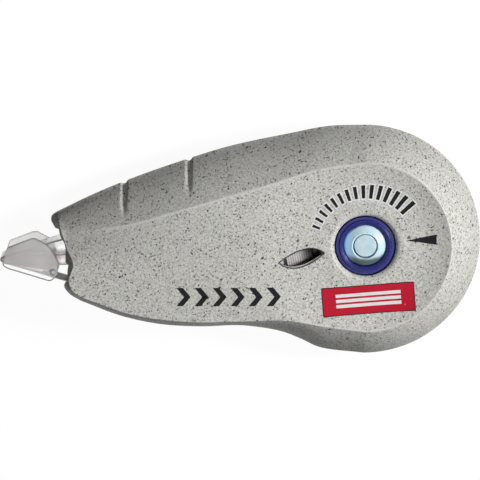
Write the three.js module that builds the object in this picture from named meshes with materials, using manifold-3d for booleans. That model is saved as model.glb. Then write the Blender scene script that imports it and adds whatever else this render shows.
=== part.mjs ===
// A single-use correction tape dispenser with a side-on reel case, lying on its back.
// Millimetres, +Z up. The spool axis is the Z axis and the back face lies on Z = 0.
// Everything is modelled from the parting plane of the two case halves, then lifted.
import * as THREE from 'three';
import { mergeVertices } from 'three/addons/utils/BufferGeometryUtils.js';
import Module from 'manifold-3d';

// Case
const HALF_THICKNESS = 7.7;
const WALL = 1.2;
const REAR_RADIUS = 20.1;
const FACE_RADIUS = 15;
const BEVEL_ARC = [25, 55].map(THREE.MathUtils.degToRad);
const SEAM_DEPTH = 0.15;
const SEAM_HEIGHT = 0.25;
const UPPER_EDGE = [[-6.1, 19.9], [-13, 18.6], [-23.2, 16.4], [-31.3, 13.9], [-40.3, 10.7], [-47, 7.9],
  [-53.2, 4.9]];
const LOWER_EDGE = [[-7.6, -19.1], [-11.1, -17.5], [-14.6, -16.2], [-21.5, -15.2], [-28.4, -15.4],
  [-35.4, -15], [-42.3, -13.5], [-49.3, -10.8]];
const FRONT_EDGE = [[-53.2, 4.9], [-54.1, 4.2], [-54.2, 3.3], [-53.6, 2.4], [-52.7, 1.6], [-52.2, -2.6],
  [-51.6, -7], [-52.1, -8.2], [-51.2, -9.6], [-49.3, -10.8]];
const UPPER_CREASE = [[-8.3, 13.5], [-18, 10.5], [-30.6, 6.8], [-42.8, 3.3], [-52.3, 2.3]];
const LOWER_CREASE = [[-6.6, -13.9], [-13.5, -12.8], [-21.5, -12.9], [-30.2, -13], [-39.7, -11.8],
  [-46.8, -9.4]];
const FRONT_CREASE = [[-52.3, 2.3], [-51.3, -0.7], [-50.1, -3], [-50.8, -5.4], [-50.5, -7.2], [-49.3, -8.3],
  [-46.8, -9.4]];
const FACE_RIDGE = [[-46, -3.6], [-39.5, -4.4], [-31, -4.2], [-22.4, -3.2], [-10, -1]];

// Face relief
const DISH_DEPTH = 1.2;
const DISH_WALL = 7;
const DISH_FADE = [-24, -6];
const DISH_STRETCH = 0.65;
const SCOOP_FROM = -24;
const SCOOP_TO = -51.5;
const SCOOP_DEPTH = 1.6;
const SCOOP_EDGE_DROP = 3.3;
const SCOOP_TOP = { y: 2, slope: 0.264 };
const SCOOP_FOOT = { y: -3, sag: 1.45 };

// Openings in the case
const HUB_HOLE_GAP = 0.5;
const HUB_HOLE_CHAMFER = 0.8;
const WINDOW = { left: [-14.9, -2.8], top: [-10.4, -0.5], right: [-7.1, -1.2], bottom: [-11.4, -3.6] };
const MOUTH_TOP = 2.4;
const MOUTH_BOTTOM = -7.5;
const MOUTH_STEP = -3.4;
const MOUTH_HALF_HIGH = 5.6;
const MOUTH_HALF_LOW = 3.2;
const MOUTH_FRONT = -55.3;
const GROOVES_AT = [-41.5, -30.3];
const GROOVE_WIDTH = 1.5;
const GROOVE_DEPTH = 0.55;

// Fasteners moulded in the case
const PEG_PLACES = [[11, -11], [11, 11], [-13.5, 12.6], [-33, 6.2], [-33, -12.2], [-44.5, 5.2]];
const PEG_RADIUS = 0.8;
const PEG_LENGTH = 3.4;
const BOSS_WALL = 0.6;

// Tape
const TAPE_WIDTH = 5;
const TAPE_THICKNESS = 0.15;
const TAPE_GAP = 0.12;
const ROLL_RADIUS = 11.7;
const SPENT_RADIUS = 4.9;

// Running gaps between pieces
const GAP = 0.3;

// Supply side, on the spool axis
const POST_RADIUS = 3.6;
const POST_BORE = 2.3;
const POST_TOP = 4.6;
const SHOULDER_RADIUS = 5;
const SPOOL_RADIUS = 5.2;
const SPOOL_TOP = 6.1;
const SPOOL_EDGE = 0.2;
const CORE_RADIUS = 6.2;
const FLANGE_RADIUS = 8;
const FLANGE_THICKNESS = 0.8;
const WASHER_THICKNESS = 0.2;
const CAP_CROWN = 0.8;
const CAP_LEVELS = [0, 0.3, 0.6, 1];
const PIN_LENGTH = 8.4;
const PIN_RISE = 0.25;

// Gears
const MODULE = 0.5;
const DRIVE_TEETH = 50;
const TAKE_UP_TEETH = 22;
const PRESSURE_ANGLE = THREE.MathUtils.degToRad(20);
const BACKLASH = 0.12;
const GEAR_THICKNESS = 1.6;
const GEAR_SLOTS = 3;
const SLOT_INNER = 7.2;
const SLOT_WIDTH = 0.9;
const SLOT_SPAN = 1.5;
const RING_RADIUS = 0.4;
const RIB_WIDTH = 0.8;

// Take-up side
const TAKE_UP_ANGLE = Math.PI + 0.035;
const TAKE_UP_POST = 1.8;
const TAKE_UP_CORE = 3.6;
const TAKE_UP_FLANGE = 6.2;

// Applicator tip and its path
const TIP_EDGE = [-63, -3.1];
const TIP_RADIUS = 0.25;
const GUIDE_RADIUS = 1.2;
const GUIDE_TOP = 3.2;
const UPPER_GUIDE = [-46, 1];
const LOWER_GUIDE = [-46, -7.1];
const PIVOT = [-43.5, -3.1];
const PIVOT_RADIUS = 1;
const EYE_WALL = 0.8;
const LOOP_END = -48.4;
const BLADE_BACK = -56;
const ARM_HALF = 0.9;
const TAIL_HALF = 0.4;
const TAIL_END = -36;
const TAIL_PLAY = 0.5;
const TAIL_RIB = 0.8;
const TAIL_RIB_LENGTH = 1.9;
const TAIL_DEEP = 1.5;
const PLATE_THICKNESS = 0.8;
const PLATE_CLEARANCE = 0.2;
const PLATE_OUTLINE = [[-61.7, -0.8], [-57.5, 0.8], [-56.8, 0.8], [-54.8, -0.3], [-53.4, -2.1], [-52.8, -3.5],
  [-53.1, -5.7], [-54, -6.6], [-54.6, -6.7], [-57.8, -5.7], [-61.4, -4.6], [-62.25, -4.2], [-62.6, -3.6]];
const PLATE_BOSS = { at: [-53.9, -5.1], radius: 0.5, rise: 0.2 };

// Colours, and how dull each is
const CASE_GREY = { color: 0xb5b4af, roughness: 0.55 };
const NAVY = { color: 0x2a2f66, roughness: 0.3 };
const ICE = { color: 0xa9c9de, roughness: 0.2 };
const GEAR_WHITE = { color: 0xd9dad6, roughness: 0.4 };
const RUBBER = { color: 0x26272b, roughness: 0.8 };
const CLEAR = { color: 0xb4b0aa, roughness: 0.2 };
const TAPE_WHITE = { color: 0xeceae4, roughness: 0.6 };
const FILM = { color: 0xc9cdd0, roughness: 0.3 };

// Facets
const REAR_STEPS = 24;
const SIDE_STEPS = 18;
const FRONT_STEPS = 16;
const BEVEL_LEVELS = [0, 0.25, 0.5, 0.75, 1];
const HOLLOW_LEVELS = [0, 0.5, 1];
const BEND_STEP = 0.26;
const FACE_LEVELS = [0.1, 0.22, 0.42, 0.7, 1];
const FINE_SIDES = 40;
const MIDDLE_SIDES = 24;
const SIDES = 16;
const RING_SIDES = 8;
const CURVE_STEPS = 12;
const HALVINGS = 30;
const SHORT_WAY = 0.05;
const OVERLAP = 0.4;

// Heights and places that follow from the sizes above
const AXIS = [0, 0];
const FLANGE_TOP = -TAPE_WIDTH / 2 - GAP;
const FLANGE_LOW = FLANGE_TOP - FLANGE_THICKNESS;
const CORE_TOP = TAPE_WIDTH / 2 + WASHER_THICKNESS + 2 * TAPE_GAP;
const GEAR_LOW = CORE_TOP + GAP;
const GEAR_TOP = GEAR_LOW + GEAR_THICKNESS;
const TOOTH_HEAD = 0.95 * MODULE;
const TOOTH_FOOT = 1.2 * MODULE;
const RING_CENTRE = SPOOL_RADIUS + TAPE_GAP + RING_RADIUS;
const RING_SEAT_DEPTH = 2 * RING_RADIUS + TAPE_GAP;
const HUB_HOLE = SPOOL_RADIUS + HUB_HOLE_GAP;
const TAKE_UP_DISTANCE = (MODULE * (DRIVE_TEETH + TAKE_UP_TEETH)) / 2;
const TAKE_UP_AT = [TAKE_UP_DISTANCE * Math.cos(TAKE_UP_ANGLE), TAKE_UP_DISTANCE * Math.sin(TAKE_UP_ANGLE)];
const TIP_EDGE_CENTRE = [TIP_EDGE[0] + TIP_RADIUS + TAPE_GAP + TAPE_THICKNESS, TIP_EDGE[1]];

const wasm = await Module();
wasm.setup();

// Solids

function solid(geometry) {
  geometry.deleteAttribute('normal');
  geometry.deleteAttribute('uv');
  const merged = mergeVertices(geometry, 1e-4);
  const corners = [];
  for (let i = 0; i < merged.index.count; i += 3) {
    const [a, b, c] = [0, 1, 2].map((k) => merged.index.getX(i + k));
    if (a !== b && b !== c && c !== a) corners.push(a, b, c);
  }
  const vertProperties = new Float32Array(merged.attributes.position.array);
  return new wasm.Manifold(new wasm.Mesh({ numProp: 3, vertProperties, triVerts: new Uint32Array(corners) }));
}

function geometryOf(body) {
  const { vertProperties, triVerts } = body.getMesh();
  const geometry = new THREE.BufferGeometry();
  geometry.setAttribute('position', new THREE.BufferAttribute(vertProperties, 3));
  geometry.setIndex(new THREE.BufferAttribute(triVerts, 1));
  geometry.computeVertexNormals();
  return geometry;
}

// A turned solid about Z from a closed list of [radius, height] corners
function turned(corners, sides = SIDES, [x, y] = AXIS) {
  const profile = [...corners, corners[0]].map(([radius, height]) => new THREE.Vector2(radius, height));
  const geometry = new THREE.LatheGeometry(profile, sides);
  geometry.rotateX(Math.PI / 2);
  geometry.translate(x, y, 0);
  return solid(geometry);
}

function rod(radius, low, high, at = AXIS, sides = SIDES) {
  return turned([[0, low], [radius, low], [radius, high], [0, high]], sides, at);
}

function tube(inner, outer, low, high, at = AXIS, sides = SIDES) {
  return turned([[inner, low], [outer, low], [outer, high], [inner, high]], sides, at);
}

// A straight prism between two heights from a flat outline
function prism(outline, low, high) {
  const shape = { depth: high - low, bevelEnabled: false, curveSegments: CURVE_STEPS };
  const geometry = new THREE.ExtrudeGeometry(outline, shape);
  geometry.translate(0, 0, low);
  return solid(geometry);
}

function outlineOf(points) {
  return new THREE.Shape(points.map(([x, y]) => new THREE.Vector2(x, y)));
}

function block([xLow, yLow, low], [xHigh, yHigh, high]) {
  return prism(outlineOf([[xLow, yLow], [xHigh, yLow], [xHigh, yHigh], [xLow, yHigh]]), low, high);
}

// A closed skin over rings of equally many points, from the first ring to the last
function skin(rings) {
  const count = rings[0].length;
  const geometry = new THREE.BufferGeometry();
  geometry.setFromPoints(rings.flat());
  const index = [];
  for (let r = 0; r + 1 < rings.length; r += 1) {
    for (let i = 0; i < count; i += 1) {
      const next = (i + 1) % count;
      const [a, b] = [r * count + i, r * count + next];
      index.push(a, b, b + count, a, b + count, a + count);
    }
  }
  geometry.setIndex(index);
  return geometry;
}

// Case outline

function curveThrough(points) {
  return new THREE.CatmullRomCurve3(points.map(([x, y]) => new THREE.Vector3(x, y, 0)), false, 'centripetal');
}

// How far the bevel has come inward and upward at a level from the parting edge to the crease
function bevelShare(level) {
  const [start, end] = BEVEL_ARC;
  const turn = start + (end - start) * level;
  return {
    inward: (Math.cos(start) - Math.cos(turn)) / (Math.cos(start) - Math.cos(end)),
    upward: (Math.sin(turn) - Math.sin(start)) / (Math.sin(end) - Math.sin(start)),
  };
}

// Stations run counter-clockwise: the rear arc, the upper side, the front, the lower side.
// Each has a point on the parting edge, one on the crease of the face and one on the ridge.
function caseStations() {
  const upper = [
    curveThrough([[0, REAR_RADIUS], ...UPPER_EDGE]),
    curveThrough([[0, FACE_RADIUS], ...UPPER_CREASE]),
  ];
  const lower = [
    curveThrough([[0, -REAR_RADIUS], ...LOWER_EDGE]),
    curveThrough([[0, -FACE_RADIUS], ...LOWER_CREASE]),
  ];
  const front = [curveThrough(FRONT_EDGE), curveThrough(FRONT_CREASE)];
  const ridge = curveThrough([...FACE_RIDGE, [0, 0]]);
  const stations = [];
  for (let i = 0; i < REAR_STEPS; i += 1) {
    const angle = Math.PI * (i / REAR_STEPS - 0.5);
    const toward = new THREE.Vector3(Math.cos(angle), Math.sin(angle), 0);
    stations.push({
      edge: toward.clone().multiplyScalar(REAR_RADIUS),
      crease: toward.clone().multiplyScalar(FACE_RADIUS),
      ridge: ridge.getPointAt(1),
    });
  }
  const along = ([edge, crease], t, ridgeAt) => stations.push({
    edge: edge.getPointAt(t),
    crease: crease.getPointAt(t),
    ridge: ridge.getPointAt(ridgeAt),
  });
  for (let i = 0; i < SIDE_STEPS; i += 1) along(upper, i / SIDE_STEPS, 1 - i / SIDE_STEPS);
  for (let i = 0; i < FRONT_STEPS; i += 1) along(front, i / FRONT_STEPS, 0);
  for (let i = SIDE_STEPS; i > 0; i -= 1) along(lower, i / SIDE_STEPS, 1 - i / SIDE_STEPS);
  return stations;
}

// Height of the front face: a shallow dish round the hub and a finger scoop at the front
function frontFace(x, y) {
  const { smoothstep, clamp } = THREE.MathUtils;
  const radius = Math.hypot(x < 0 ? DISH_STRETCH * x : x, y);
  const upTheWall = clamp(1 - (FACE_RADIUS - radius) / DISH_WALL, 0, 1);
  const dish = DISH_DEPTH * (1 - upTheWall ** 2) * smoothstep(x, ...DISH_FADE);
  const along = clamp((SCOOP_FROM - x) / (SCOOP_FROM - SCOOP_TO), 0, 1) ** 2;
  const middle = (SCOOP_FROM + SCOOP_TO) / 2;
  const half = (SCOOP_FROM - SCOOP_TO) / 2;
  const top = SCOOP_TOP.y + SCOOP_TOP.slope * (x - SCOOP_TO);
  const foot = SCOOP_FOOT.y - SCOOP_FOOT.sag * Math.max(0, 1 - ((x - middle) / half) ** 2);
  const across = clamp((y - foot) / (top - foot), 0, 1);
  const scoop = SCOOP_EDGE_DROP * across ** 1.5 + SCOOP_DEPTH * Math.sin(Math.PI * across);
  return HALF_THICKNESS - dish - along * scoop;
}

function backFace() {
  return HALF_THICKNESS;
}

// Moves a point toward its ridge point by a length, never past it
function drawnIn(point, ridge, length) {
  const distance = point.distanceTo(ridge);
  return point.clone().lerp(ridge, Math.min(1, length / distance));
}

// One half of the case as a filled body, drawn in from the outer form by an inset
function halfBody(stations, face, inset, levels, side) {
  const flat = (point, z) => new THREE.Vector3(point.x, point.y, z);
  const starts = inset > 0 ? [[inset, -OVERLAP]] : [[SEAM_DEPTH, 0], [0, SEAM_HEIGHT]];
  const rings = [stations.map(({ ridge }) => flat(ridge, starts[0][1]))];
  for (const [depth, z] of starts) {
    rings.push(stations.map(({ edge, ridge }) => flat(drawnIn(edge, ridge, depth), z)));
  }
  for (const level of levels.slice(1)) {
    const { inward, upward } = bevelShare(level);
    rings.push(stations.map(({ edge, crease, ridge }) => {
      const point = drawnIn(edge.clone().lerp(crease, inward), ridge, inset);
      const top = drawnIn(crease, ridge, inset);
      return flat(point, (face(top.x, top.y) - inset) * upward);
    }));
  }
  const steps = face === backFace ? [1] : FACE_LEVELS;
  for (const step of steps) {
    rings.push(stations.map(({ crease, ridge }) => {
      const point = drawnIn(crease, ridge, inset).lerp(ridge, step);
      return flat(point, face(point.x, point.y) - inset);
    }));
  }
  const geometry = skin(rings);
  if (side < 0) turnOver(geometry);
  return solid(geometry);
}

// Mirrors a geometry in the parting plane and keeps its faces outward
function turnOver(geometry) {
  geometry.scale(1, 1, -1);
  const { index } = geometry;
  for (let i = 0; i < index.count; i += 3) {
    const [b, c] = [index.getX(i + 1), index.getX(i + 2)];
    index.setX(i + 1, c);
    index.setX(i + 2, b);
  }
}

// Where a side curve passes over a place along the case
function sideHeightAt(curve, place) {
  let [near, far] = [0, 1];
  for (let i = 0; i < HALVINGS; i += 1) {
    const middle = (near + far) / 2;
    if (curve.getPointAt(middle).x > place) near = middle;
    else far = middle;
  }
  return curve.getPointAt(near).y;
}

// A V groove that runs over the upper bevel of one half, from the parting edge to the crease
function grooveCutter(place, side) {
  const edge = sideHeightAt(curveThrough([[0, REAR_RADIUS], ...UPPER_EDGE]), place);
  const crease = sideHeightAt(curveThrough([[0, FACE_RADIUS], ...UPPER_CREASE]), place);
  const high = faceOf(side)(place, crease);
  const spread = (GROOVE_WIDTH / 2) * (1 + OVERLAP / GROOVE_DEPTH);
  const onBevel = (level) => {
    const { inward, upward } = bevelShare(level);
    return new THREE.Vector3(place, edge + (crease - edge) * inward, high * upward);
  };
  const rings = [-BEVEL_LEVELS[1] / 2, ...BEVEL_LEVELS].map((level) => {
    const surface = onBevel(level);
    const along = onBevel(level + SHORT_WAY).sub(surface);
    const out = new THREE.Vector3(0, along.z, -along.y).normalize();
    return [
      surface.clone().addScaledVector(out, -GROOVE_DEPTH),
      surface.clone().addScaledVector(out, OVERLAP).add(new THREE.Vector3(spread, 0, 0)),
      surface.clone().addScaledVector(out, OVERLAP).add(new THREE.Vector3(-spread, 0, 0)),
    ];
  });
  const closed = (ring) => ring.map(() => ring[0].clone().add(ring[1]).add(ring[2]).divideScalar(3));
  const geometry = skin([closed(rings[0]), ...rings, closed(rings.at(-1))]);
  if (side < 0) turnOver(geometry);
  return solid(geometry);
}

// Case halves

function faceOf(side) {
  return side > 0 ? frontFace : backFace;
}

// The tip comes out between these walls, which stand clear of the tape
function mouthCutter(side) {
  const back = LOOP_END + OVERLAP;
  const deep = side > 0 ? MOUTH_HALF_LOW : MOUTH_HALF_HIGH;
  return block([MOUTH_FRONT, MOUTH_BOTTOM, -MOUTH_HALF_HIGH], [back, MOUTH_STEP, MOUTH_HALF_HIGH])
    .add(block([MOUTH_FRONT, MOUTH_STEP - OVERLAP, -deep], [back, MOUTH_TOP, deep]));
}

// The moulded shell that both halves share, with the bosses for the pegs
function caseShell(side) {
  const stations = caseStations();
  const outer = halfBody(stations, faceOf(side), 0, BEVEL_LEVELS, side);
  const hollow = halfBody(stations, faceOf(side), WALL, HOLLOW_LEVELS, side);
  let shell = outer.subtract(hollow);
  for (const place of PEG_PLACES) {
    const boss = rod(PEG_RADIUS + GAP + BOSS_WALL, -HALF_THICKNESS, HALF_THICKNESS, place);
    shell = shell.add(boss.intersect(outer));
  }
  for (const place of GROOVES_AT) shell = shell.subtract(grooveCutter(place, side));
  return { outer, shell: shell.subtract(mouthCutter(side)) };
}

// The eye-shaped window over the meeting gear teeth
function windowCutter() {
  const { left, top, right, bottom } = WINDOW;
  const pull = (middle) => [0, 1].map((k) => 2 * middle[k] - (left[k] + right[k]) / 2);
  const outline = new THREE.Shape();
  outline.moveTo(...left);
  outline.quadraticCurveTo(...pull(bottom), ...right);
  outline.quadraticCurveTo(...pull(top), ...left);
  return prism(outline, GEAR_TOP, HALF_THICKNESS + OVERLAP);
}

function hubHoleCutter() {
  const rim = HALF_THICKNESS - DISH_DEPTH;
  const top = HALF_THICKNESS + OVERLAP;
  const wide = HUB_HOLE + HUB_HOLE_CHAMFER;
  return turned([
    [0, GEAR_TOP], [HUB_HOLE, GEAR_TOP], [HUB_HOLE, rim - HUB_HOLE_CHAMFER], [wide, rim],
    [wide + top - rim, top], [0, top],
  ], FINE_SIDES);
}

function caseFront() {
  const { outer, shell } = caseShell(1);
  const hubRib = rod(HUB_HOLE + RIB_WIDTH, GEAR_TOP + GAP, HALF_THICKNESS, AXIS, FINE_SIDES).intersect(outer);
  const socket = rod(TAKE_UP_POST + GAP + RIB_WIDTH, GEAR_TOP + GAP, HALF_THICKNESS - WALL / 2, TAKE_UP_AT);
  const bore = rod(TAKE_UP_POST + GAP, GEAR_TOP, HALF_THICKNESS - WALL, TAKE_UP_AT);
  let cover = shell.add(hubRib).add(socket).subtract(bore).subtract(hubHoleCutter()).subtract(windowCutter());
  for (const place of PEG_PLACES) cover = cover.add(rod(PEG_RADIUS, -PEG_LENGTH, OVERLAP, place));
  return cover;
}

// Every post, pin and rib of the back half stands on its floor
function caseBack() {
  const { shell } = caseShell(-1);
  const floor = -HALF_THICKNESS + WALL - OVERLAP;
  const ribAt = TAIL_HALF + TAIL_PLAY;
  let base = shell
    .add(rod(SHOULDER_RADIUS, floor, FLANGE_LOW - GAP, AXIS, FINE_SIDES))
    .add(rod(POST_RADIUS, floor, POST_TOP, AXIS, FINE_SIDES))
    .add(rod(TAKE_UP_POST + RIB_WIDTH, floor, FLANGE_LOW - GAP, TAKE_UP_AT))
    .add(rod(TAKE_UP_POST, floor, GEAR_TOP + GAP + RIB_WIDTH, TAKE_UP_AT))
    .add(rod(GUIDE_RADIUS, floor, GUIDE_TOP, UPPER_GUIDE))
    .add(rod(GUIDE_RADIUS, floor, GUIDE_TOP, LOWER_GUIDE))
    .add(rod(PIVOT_RADIUS + RIB_WIDTH, floor, -TAPE_WIDTH / 2 - GAP, PIVOT))
    .add(rod(PIVOT_RADIUS, floor, GUIDE_TOP, PIVOT));
  for (const across of [PIVOT[1] + ribAt, PIVOT[1] - ribAt - TAIL_RIB]) {
    const start = [TAIL_END - TAIL_RIB_LENGTH, across, floor];
    base = base.add(block(start, [TAIL_END, across + TAIL_RIB, TAPE_WIDTH / 2]));
  }
  base = base.subtract(rod(POST_BORE, -HALF_THICKNESS + WALL, POST_TOP + OVERLAP));
  for (const place of PEG_PLACES) {
    base = base.subtract(rod(PEG_RADIUS + GAP, -PEG_LENGTH - GAP, OVERLAP, place));
  }
  return base;
}

// Supply side

function supplySpool() {
  const bore = POST_RADIUS + GAP;
  return turned([
    [bore, FLANGE_LOW], [FLANGE_RADIUS, FLANGE_LOW], [FLANGE_RADIUS, FLANGE_TOP], [CORE_RADIUS, FLANGE_TOP],
    [CORE_RADIUS, CORE_TOP], [SPOOL_RADIUS, CORE_TOP], [SPOOL_RADIUS, SPOOL_TOP - SPOOL_EDGE],
    [SPOOL_RADIUS - SPOOL_EDGE, SPOOL_TOP], [bore + SPOOL_EDGE, SPOOL_TOP], [bore, SPOOL_TOP - SPOOL_EDGE],
  ], FINE_SIDES);
}

function tapeRoll() {
  return tube(CORE_RADIUS + GAP, ROLL_RADIUS, -TAPE_WIDTH / 2, TAPE_WIDTH / 2, AXIS, FINE_SIDES);
}

function filmWasher() {
  const low = TAPE_WIDTH / 2 + TAPE_GAP;
  return tube(CORE_RADIUS + GAP, ROLL_RADIUS, low, low + WASHER_THICKNESS, AXIS, FINE_SIDES);
}

// A low crown round the pin that holds the spool on its post
function hubCap() {
  const low = POST_TOP + GAP;
  const rim = SPOOL_TOP - 2 * PIN_RISE;
  const crown = CAP_LEVELS.map((t) => {
    const radius = THREE.MathUtils.lerp(POST_RADIUS, POST_BORE, t);
    return [radius, rim + CAP_CROWN * Math.sin((t * Math.PI) / 2)];
  });
  return turned([[POST_BORE, low], [POST_RADIUS, low], ...crown], FINE_SIDES);
}

function hubPin() {
  const radius = POST_BORE - GAP;
  const top = SPOOL_TOP - 2 * PIN_RISE + CAP_CROWN + PIN_RISE;
  return turned([
    [0, top - PIN_LENGTH], [radius - PIN_RISE, top - PIN_LENGTH], [radius, top - PIN_LENGTH + PIN_RISE],
    [radius, top - PIN_RISE], [radius - PIN_RISE, top], [0, top],
  ], MIDDLE_SIDES);
}

// Gears

// Outline of a spur gear with involute flanks, one tooth centred on +X
function gearOutline(teeth) {
  const pitch = (MODULE * teeth) / 2;
  const base = pitch * Math.cos(PRESSURE_ANGLE);
  const involute = (radius) => {
    const ratio = Math.max(1, radius / base);
    return Math.sqrt(ratio ** 2 - 1) - Math.acos(1 / ratio);
  };
  const atPitch = Math.PI / 2 / teeth - BACKLASH / 2 / pitch;
  const halfAngle = (radius) => atPitch + involute(pitch) - involute(radius);
  const radii = [pitch - TOOTH_FOOT, pitch, pitch + TOOTH_HEAD];
  const outline = [];
  for (let tooth = 0; tooth < teeth; tooth += 1) {
    const centre = (2 * Math.PI * tooth) / teeth;
    const corner = (radius, angle) => outline.push([radius * Math.cos(angle), radius * Math.sin(angle)]);
    radii.forEach((radius) => corner(radius, centre - halfAngle(radius)));
    radii.toReversed().forEach((radius) => corner(radius, centre + halfAngle(radius)));
  }
  return outlineOf(outline);
}

// Curved slots that leave springy arms round the hub of the drive gear
function slotCutter(start) {
  const outer = SLOT_INNER + SLOT_WIDTH;
  const outline = new THREE.Shape();
  outline.absarc(0, 0, outer, start, start + SLOT_SPAN, false);
  outline.absarc(0, 0, SLOT_INNER, start + SLOT_SPAN, start, true);
  return prism(outline, GEAR_LOW - OVERLAP, GEAR_TOP + OVERLAP);
}

function driveGear() {
  const bore = SPOOL_RADIUS + GAP;
  const seat = RING_CENTRE + RING_RADIUS + TAPE_GAP;
  let gear = prism(gearOutline(DRIVE_TEETH), GEAR_LOW, GEAR_TOP)
    .subtract(rod(bore, GEAR_LOW - OVERLAP, GEAR_TOP + OVERLAP, AXIS, FINE_SIDES))
    .subtract(rod(seat, GEAR_TOP - RING_SEAT_DEPTH, GEAR_TOP + OVERLAP, AXIS, FINE_SIDES));
  for (let i = 0; i < GEAR_SLOTS; i += 1) gear = gear.subtract(slotCutter((2 * Math.PI * i) / GEAR_SLOTS));
  return gear;
}

// The rubber ring that lets the spool slip in the gear
function frictionRing() {
  const geometry = new THREE.TorusGeometry(RING_CENTRE, RING_RADIUS, RING_SIDES, MIDDLE_SIDES);
  geometry.translate(0, 0, GEAR_TOP - RING_SEAT_DEPTH + TAPE_GAP + RING_RADIUS);
  return solid(geometry);
}

function takeUpReel() {
  const bore = TAKE_UP_POST + GAP;
  const reel = turned([
    [bore, FLANGE_LOW], [TAKE_UP_FLANGE, FLANGE_LOW], [TAKE_UP_FLANGE, FLANGE_TOP],
    [TAKE_UP_CORE, FLANGE_TOP], [TAKE_UP_CORE, GEAR_LOW + OVERLAP], [bore, GEAR_LOW + OVERLAP],
  ], MIDDLE_SIDES);
  const gear = prism(gearOutline(TAKE_UP_TEETH), GEAR_LOW, GEAR_TOP);
  return reel.add(gear.subtract(rod(bore, GEAR_LOW - OVERLAP, GEAR_TOP + OVERLAP, AXIS, MIDDLE_SIDES)));
}

function spentRoll() {
  return tube(TAKE_UP_CORE + GAP, SPENT_RADIUS, -TAPE_WIDTH / 2, TAPE_WIDTH / 2, AXIS, MIDDLE_SIDES);
}

// Tape

// The tape's middle line past round stops. Each stop has a centre and a signed radius,
// positive where the centre lies to the left of the tape as it runs.
function tapeLine(stops) {
  const headings = stops.slice(1).map((stop, i) => {
    const from = stops[i];
    const [dx, dy] = [stop.at[0] - from.at[0], stop.at[1] - from.at[1]];
    return Math.atan2(dy, dx) - Math.asin((stop.radius - from.radius) / Math.hypot(dx, dy));
  });
  const line = [];
  stops.forEach((stop, i) => {
    const enter = headings[Math.max(0, i - 1)];
    const leave = headings[Math.min(i, headings.length - 1)];
    const turn = Math.atan2(Math.sin(leave - enter), Math.cos(leave - enter));
    const steps = Math.ceil(Math.abs(turn) / BEND_STEP);
    for (let k = 0; k <= steps; k += 1) {
      const heading = enter + (steps ? (turn * k) / steps : 0);
      line.push(new THREE.Vector2(
        stop.at[0] + stop.radius * Math.sin(heading),
        stop.at[1] - stop.radius * Math.cos(heading),
      ));
    }
  });
  return line;
}

function wholeTape() {
  const half = TAPE_THICKNESS / 2;
  const touching = (radius) => -(radius + TAPE_GAP + half);
  return tapeLine([
    { at: [0, 0], radius: -(ROLL_RADIUS + GAP + half) },
    { at: LOWER_GUIDE, radius: touching(GUIDE_RADIUS) },
    { at: TIP_EDGE_CENTRE, radius: touching(TIP_RADIUS) },
    { at: UPPER_GUIDE, radius: touching(GUIDE_RADIUS) },
    { at: TAKE_UP_AT, radius: SPENT_RADIUS + GAP + half },
  ]);
}

// The part of a line between two crossings of a place along the case
function cutLine(line, keep) {
  const kept = [];
  line.forEach((point, i) => {
    const before = line[i - 1];
    if (before && keep(before) !== keep(point)) {
      let [inside, outside] = keep(point) ? [point, before] : [before, point];
      for (let k = 0; k < HALVINGS; k += 1) {
        const middle = inside.clone().lerp(outside, 0.5);
        if (keep(middle)) inside = middle;
        else outside = middle;
      }
      kept.push(inside);
    }
    if (keep(point)) kept.push(point);
  });
  return kept;
}

function tapeBand(line) {
  const half = TAPE_THICKNESS / 2;
  const sides = [half, -half].map((offset) => line.map((point, i) => {
    const ahead = line[Math.min(i + 1, line.length - 1)];
    const behind = line[Math.max(i - 1, 0)];
    const along = ahead.clone().sub(behind).normalize();
    return new THREE.Vector2(point.x - along.y * offset, point.y + along.x * offset);
  }));
  return prism(new THREE.Shape([...sides[1], ...sides[0].reverse()]), -TAPE_WIDTH / 2, TAPE_WIDTH / 2);
}

function tapeLoop() {
  return tapeBand(cutLine(wholeTape(), (point) => point.x < LOOP_END));
}

function freshTape() {
  const behind = LOOP_END + GAP;
  const whole = wholeTape();
  const tip = whole.findIndex((point) => point.x < behind);
  return tapeBand(cutLine(whole.slice(0, tip + 1), (point) => point.x > behind));
}

function spentTape() {
  const behind = LOOP_END + GAP;
  const whole = wholeTape();
  const tip = whole.findLastIndex((point) => point.x < behind);
  return tapeBand(cutLine(whole.slice(tip), (point) => point.x > behind));
}

// Applicator tip

// The wedge that presses the tape down, drawn in from the tape by its own gap
function bladeOutline() {
  const whole = wholeTape();
  const inset = TAPE_THICKNESS / 2 + TAPE_GAP;
  const loop = cutLine(whole, (point) => point.x < BLADE_BACK);
  const inner = loop.map((point, i) => {
    const along = loop[Math.min(i + 1, loop.length - 1)].clone().sub(loop[Math.max(i - 1, 0)]).normalize();
    return [point.x + along.y * inset, point.y - along.x * inset];
  });
  const y = PIVOT[1];
  const neck = BLADE_BACK + 2 * ARM_HALF;
  return outlineOf([...inner, [neck, y + ARM_HALF], [PIVOT[0], y + ARM_HALF], [PIVOT[0], y - ARM_HALF],
    [neck, y - ARM_HALF]].reverse());
}

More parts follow.
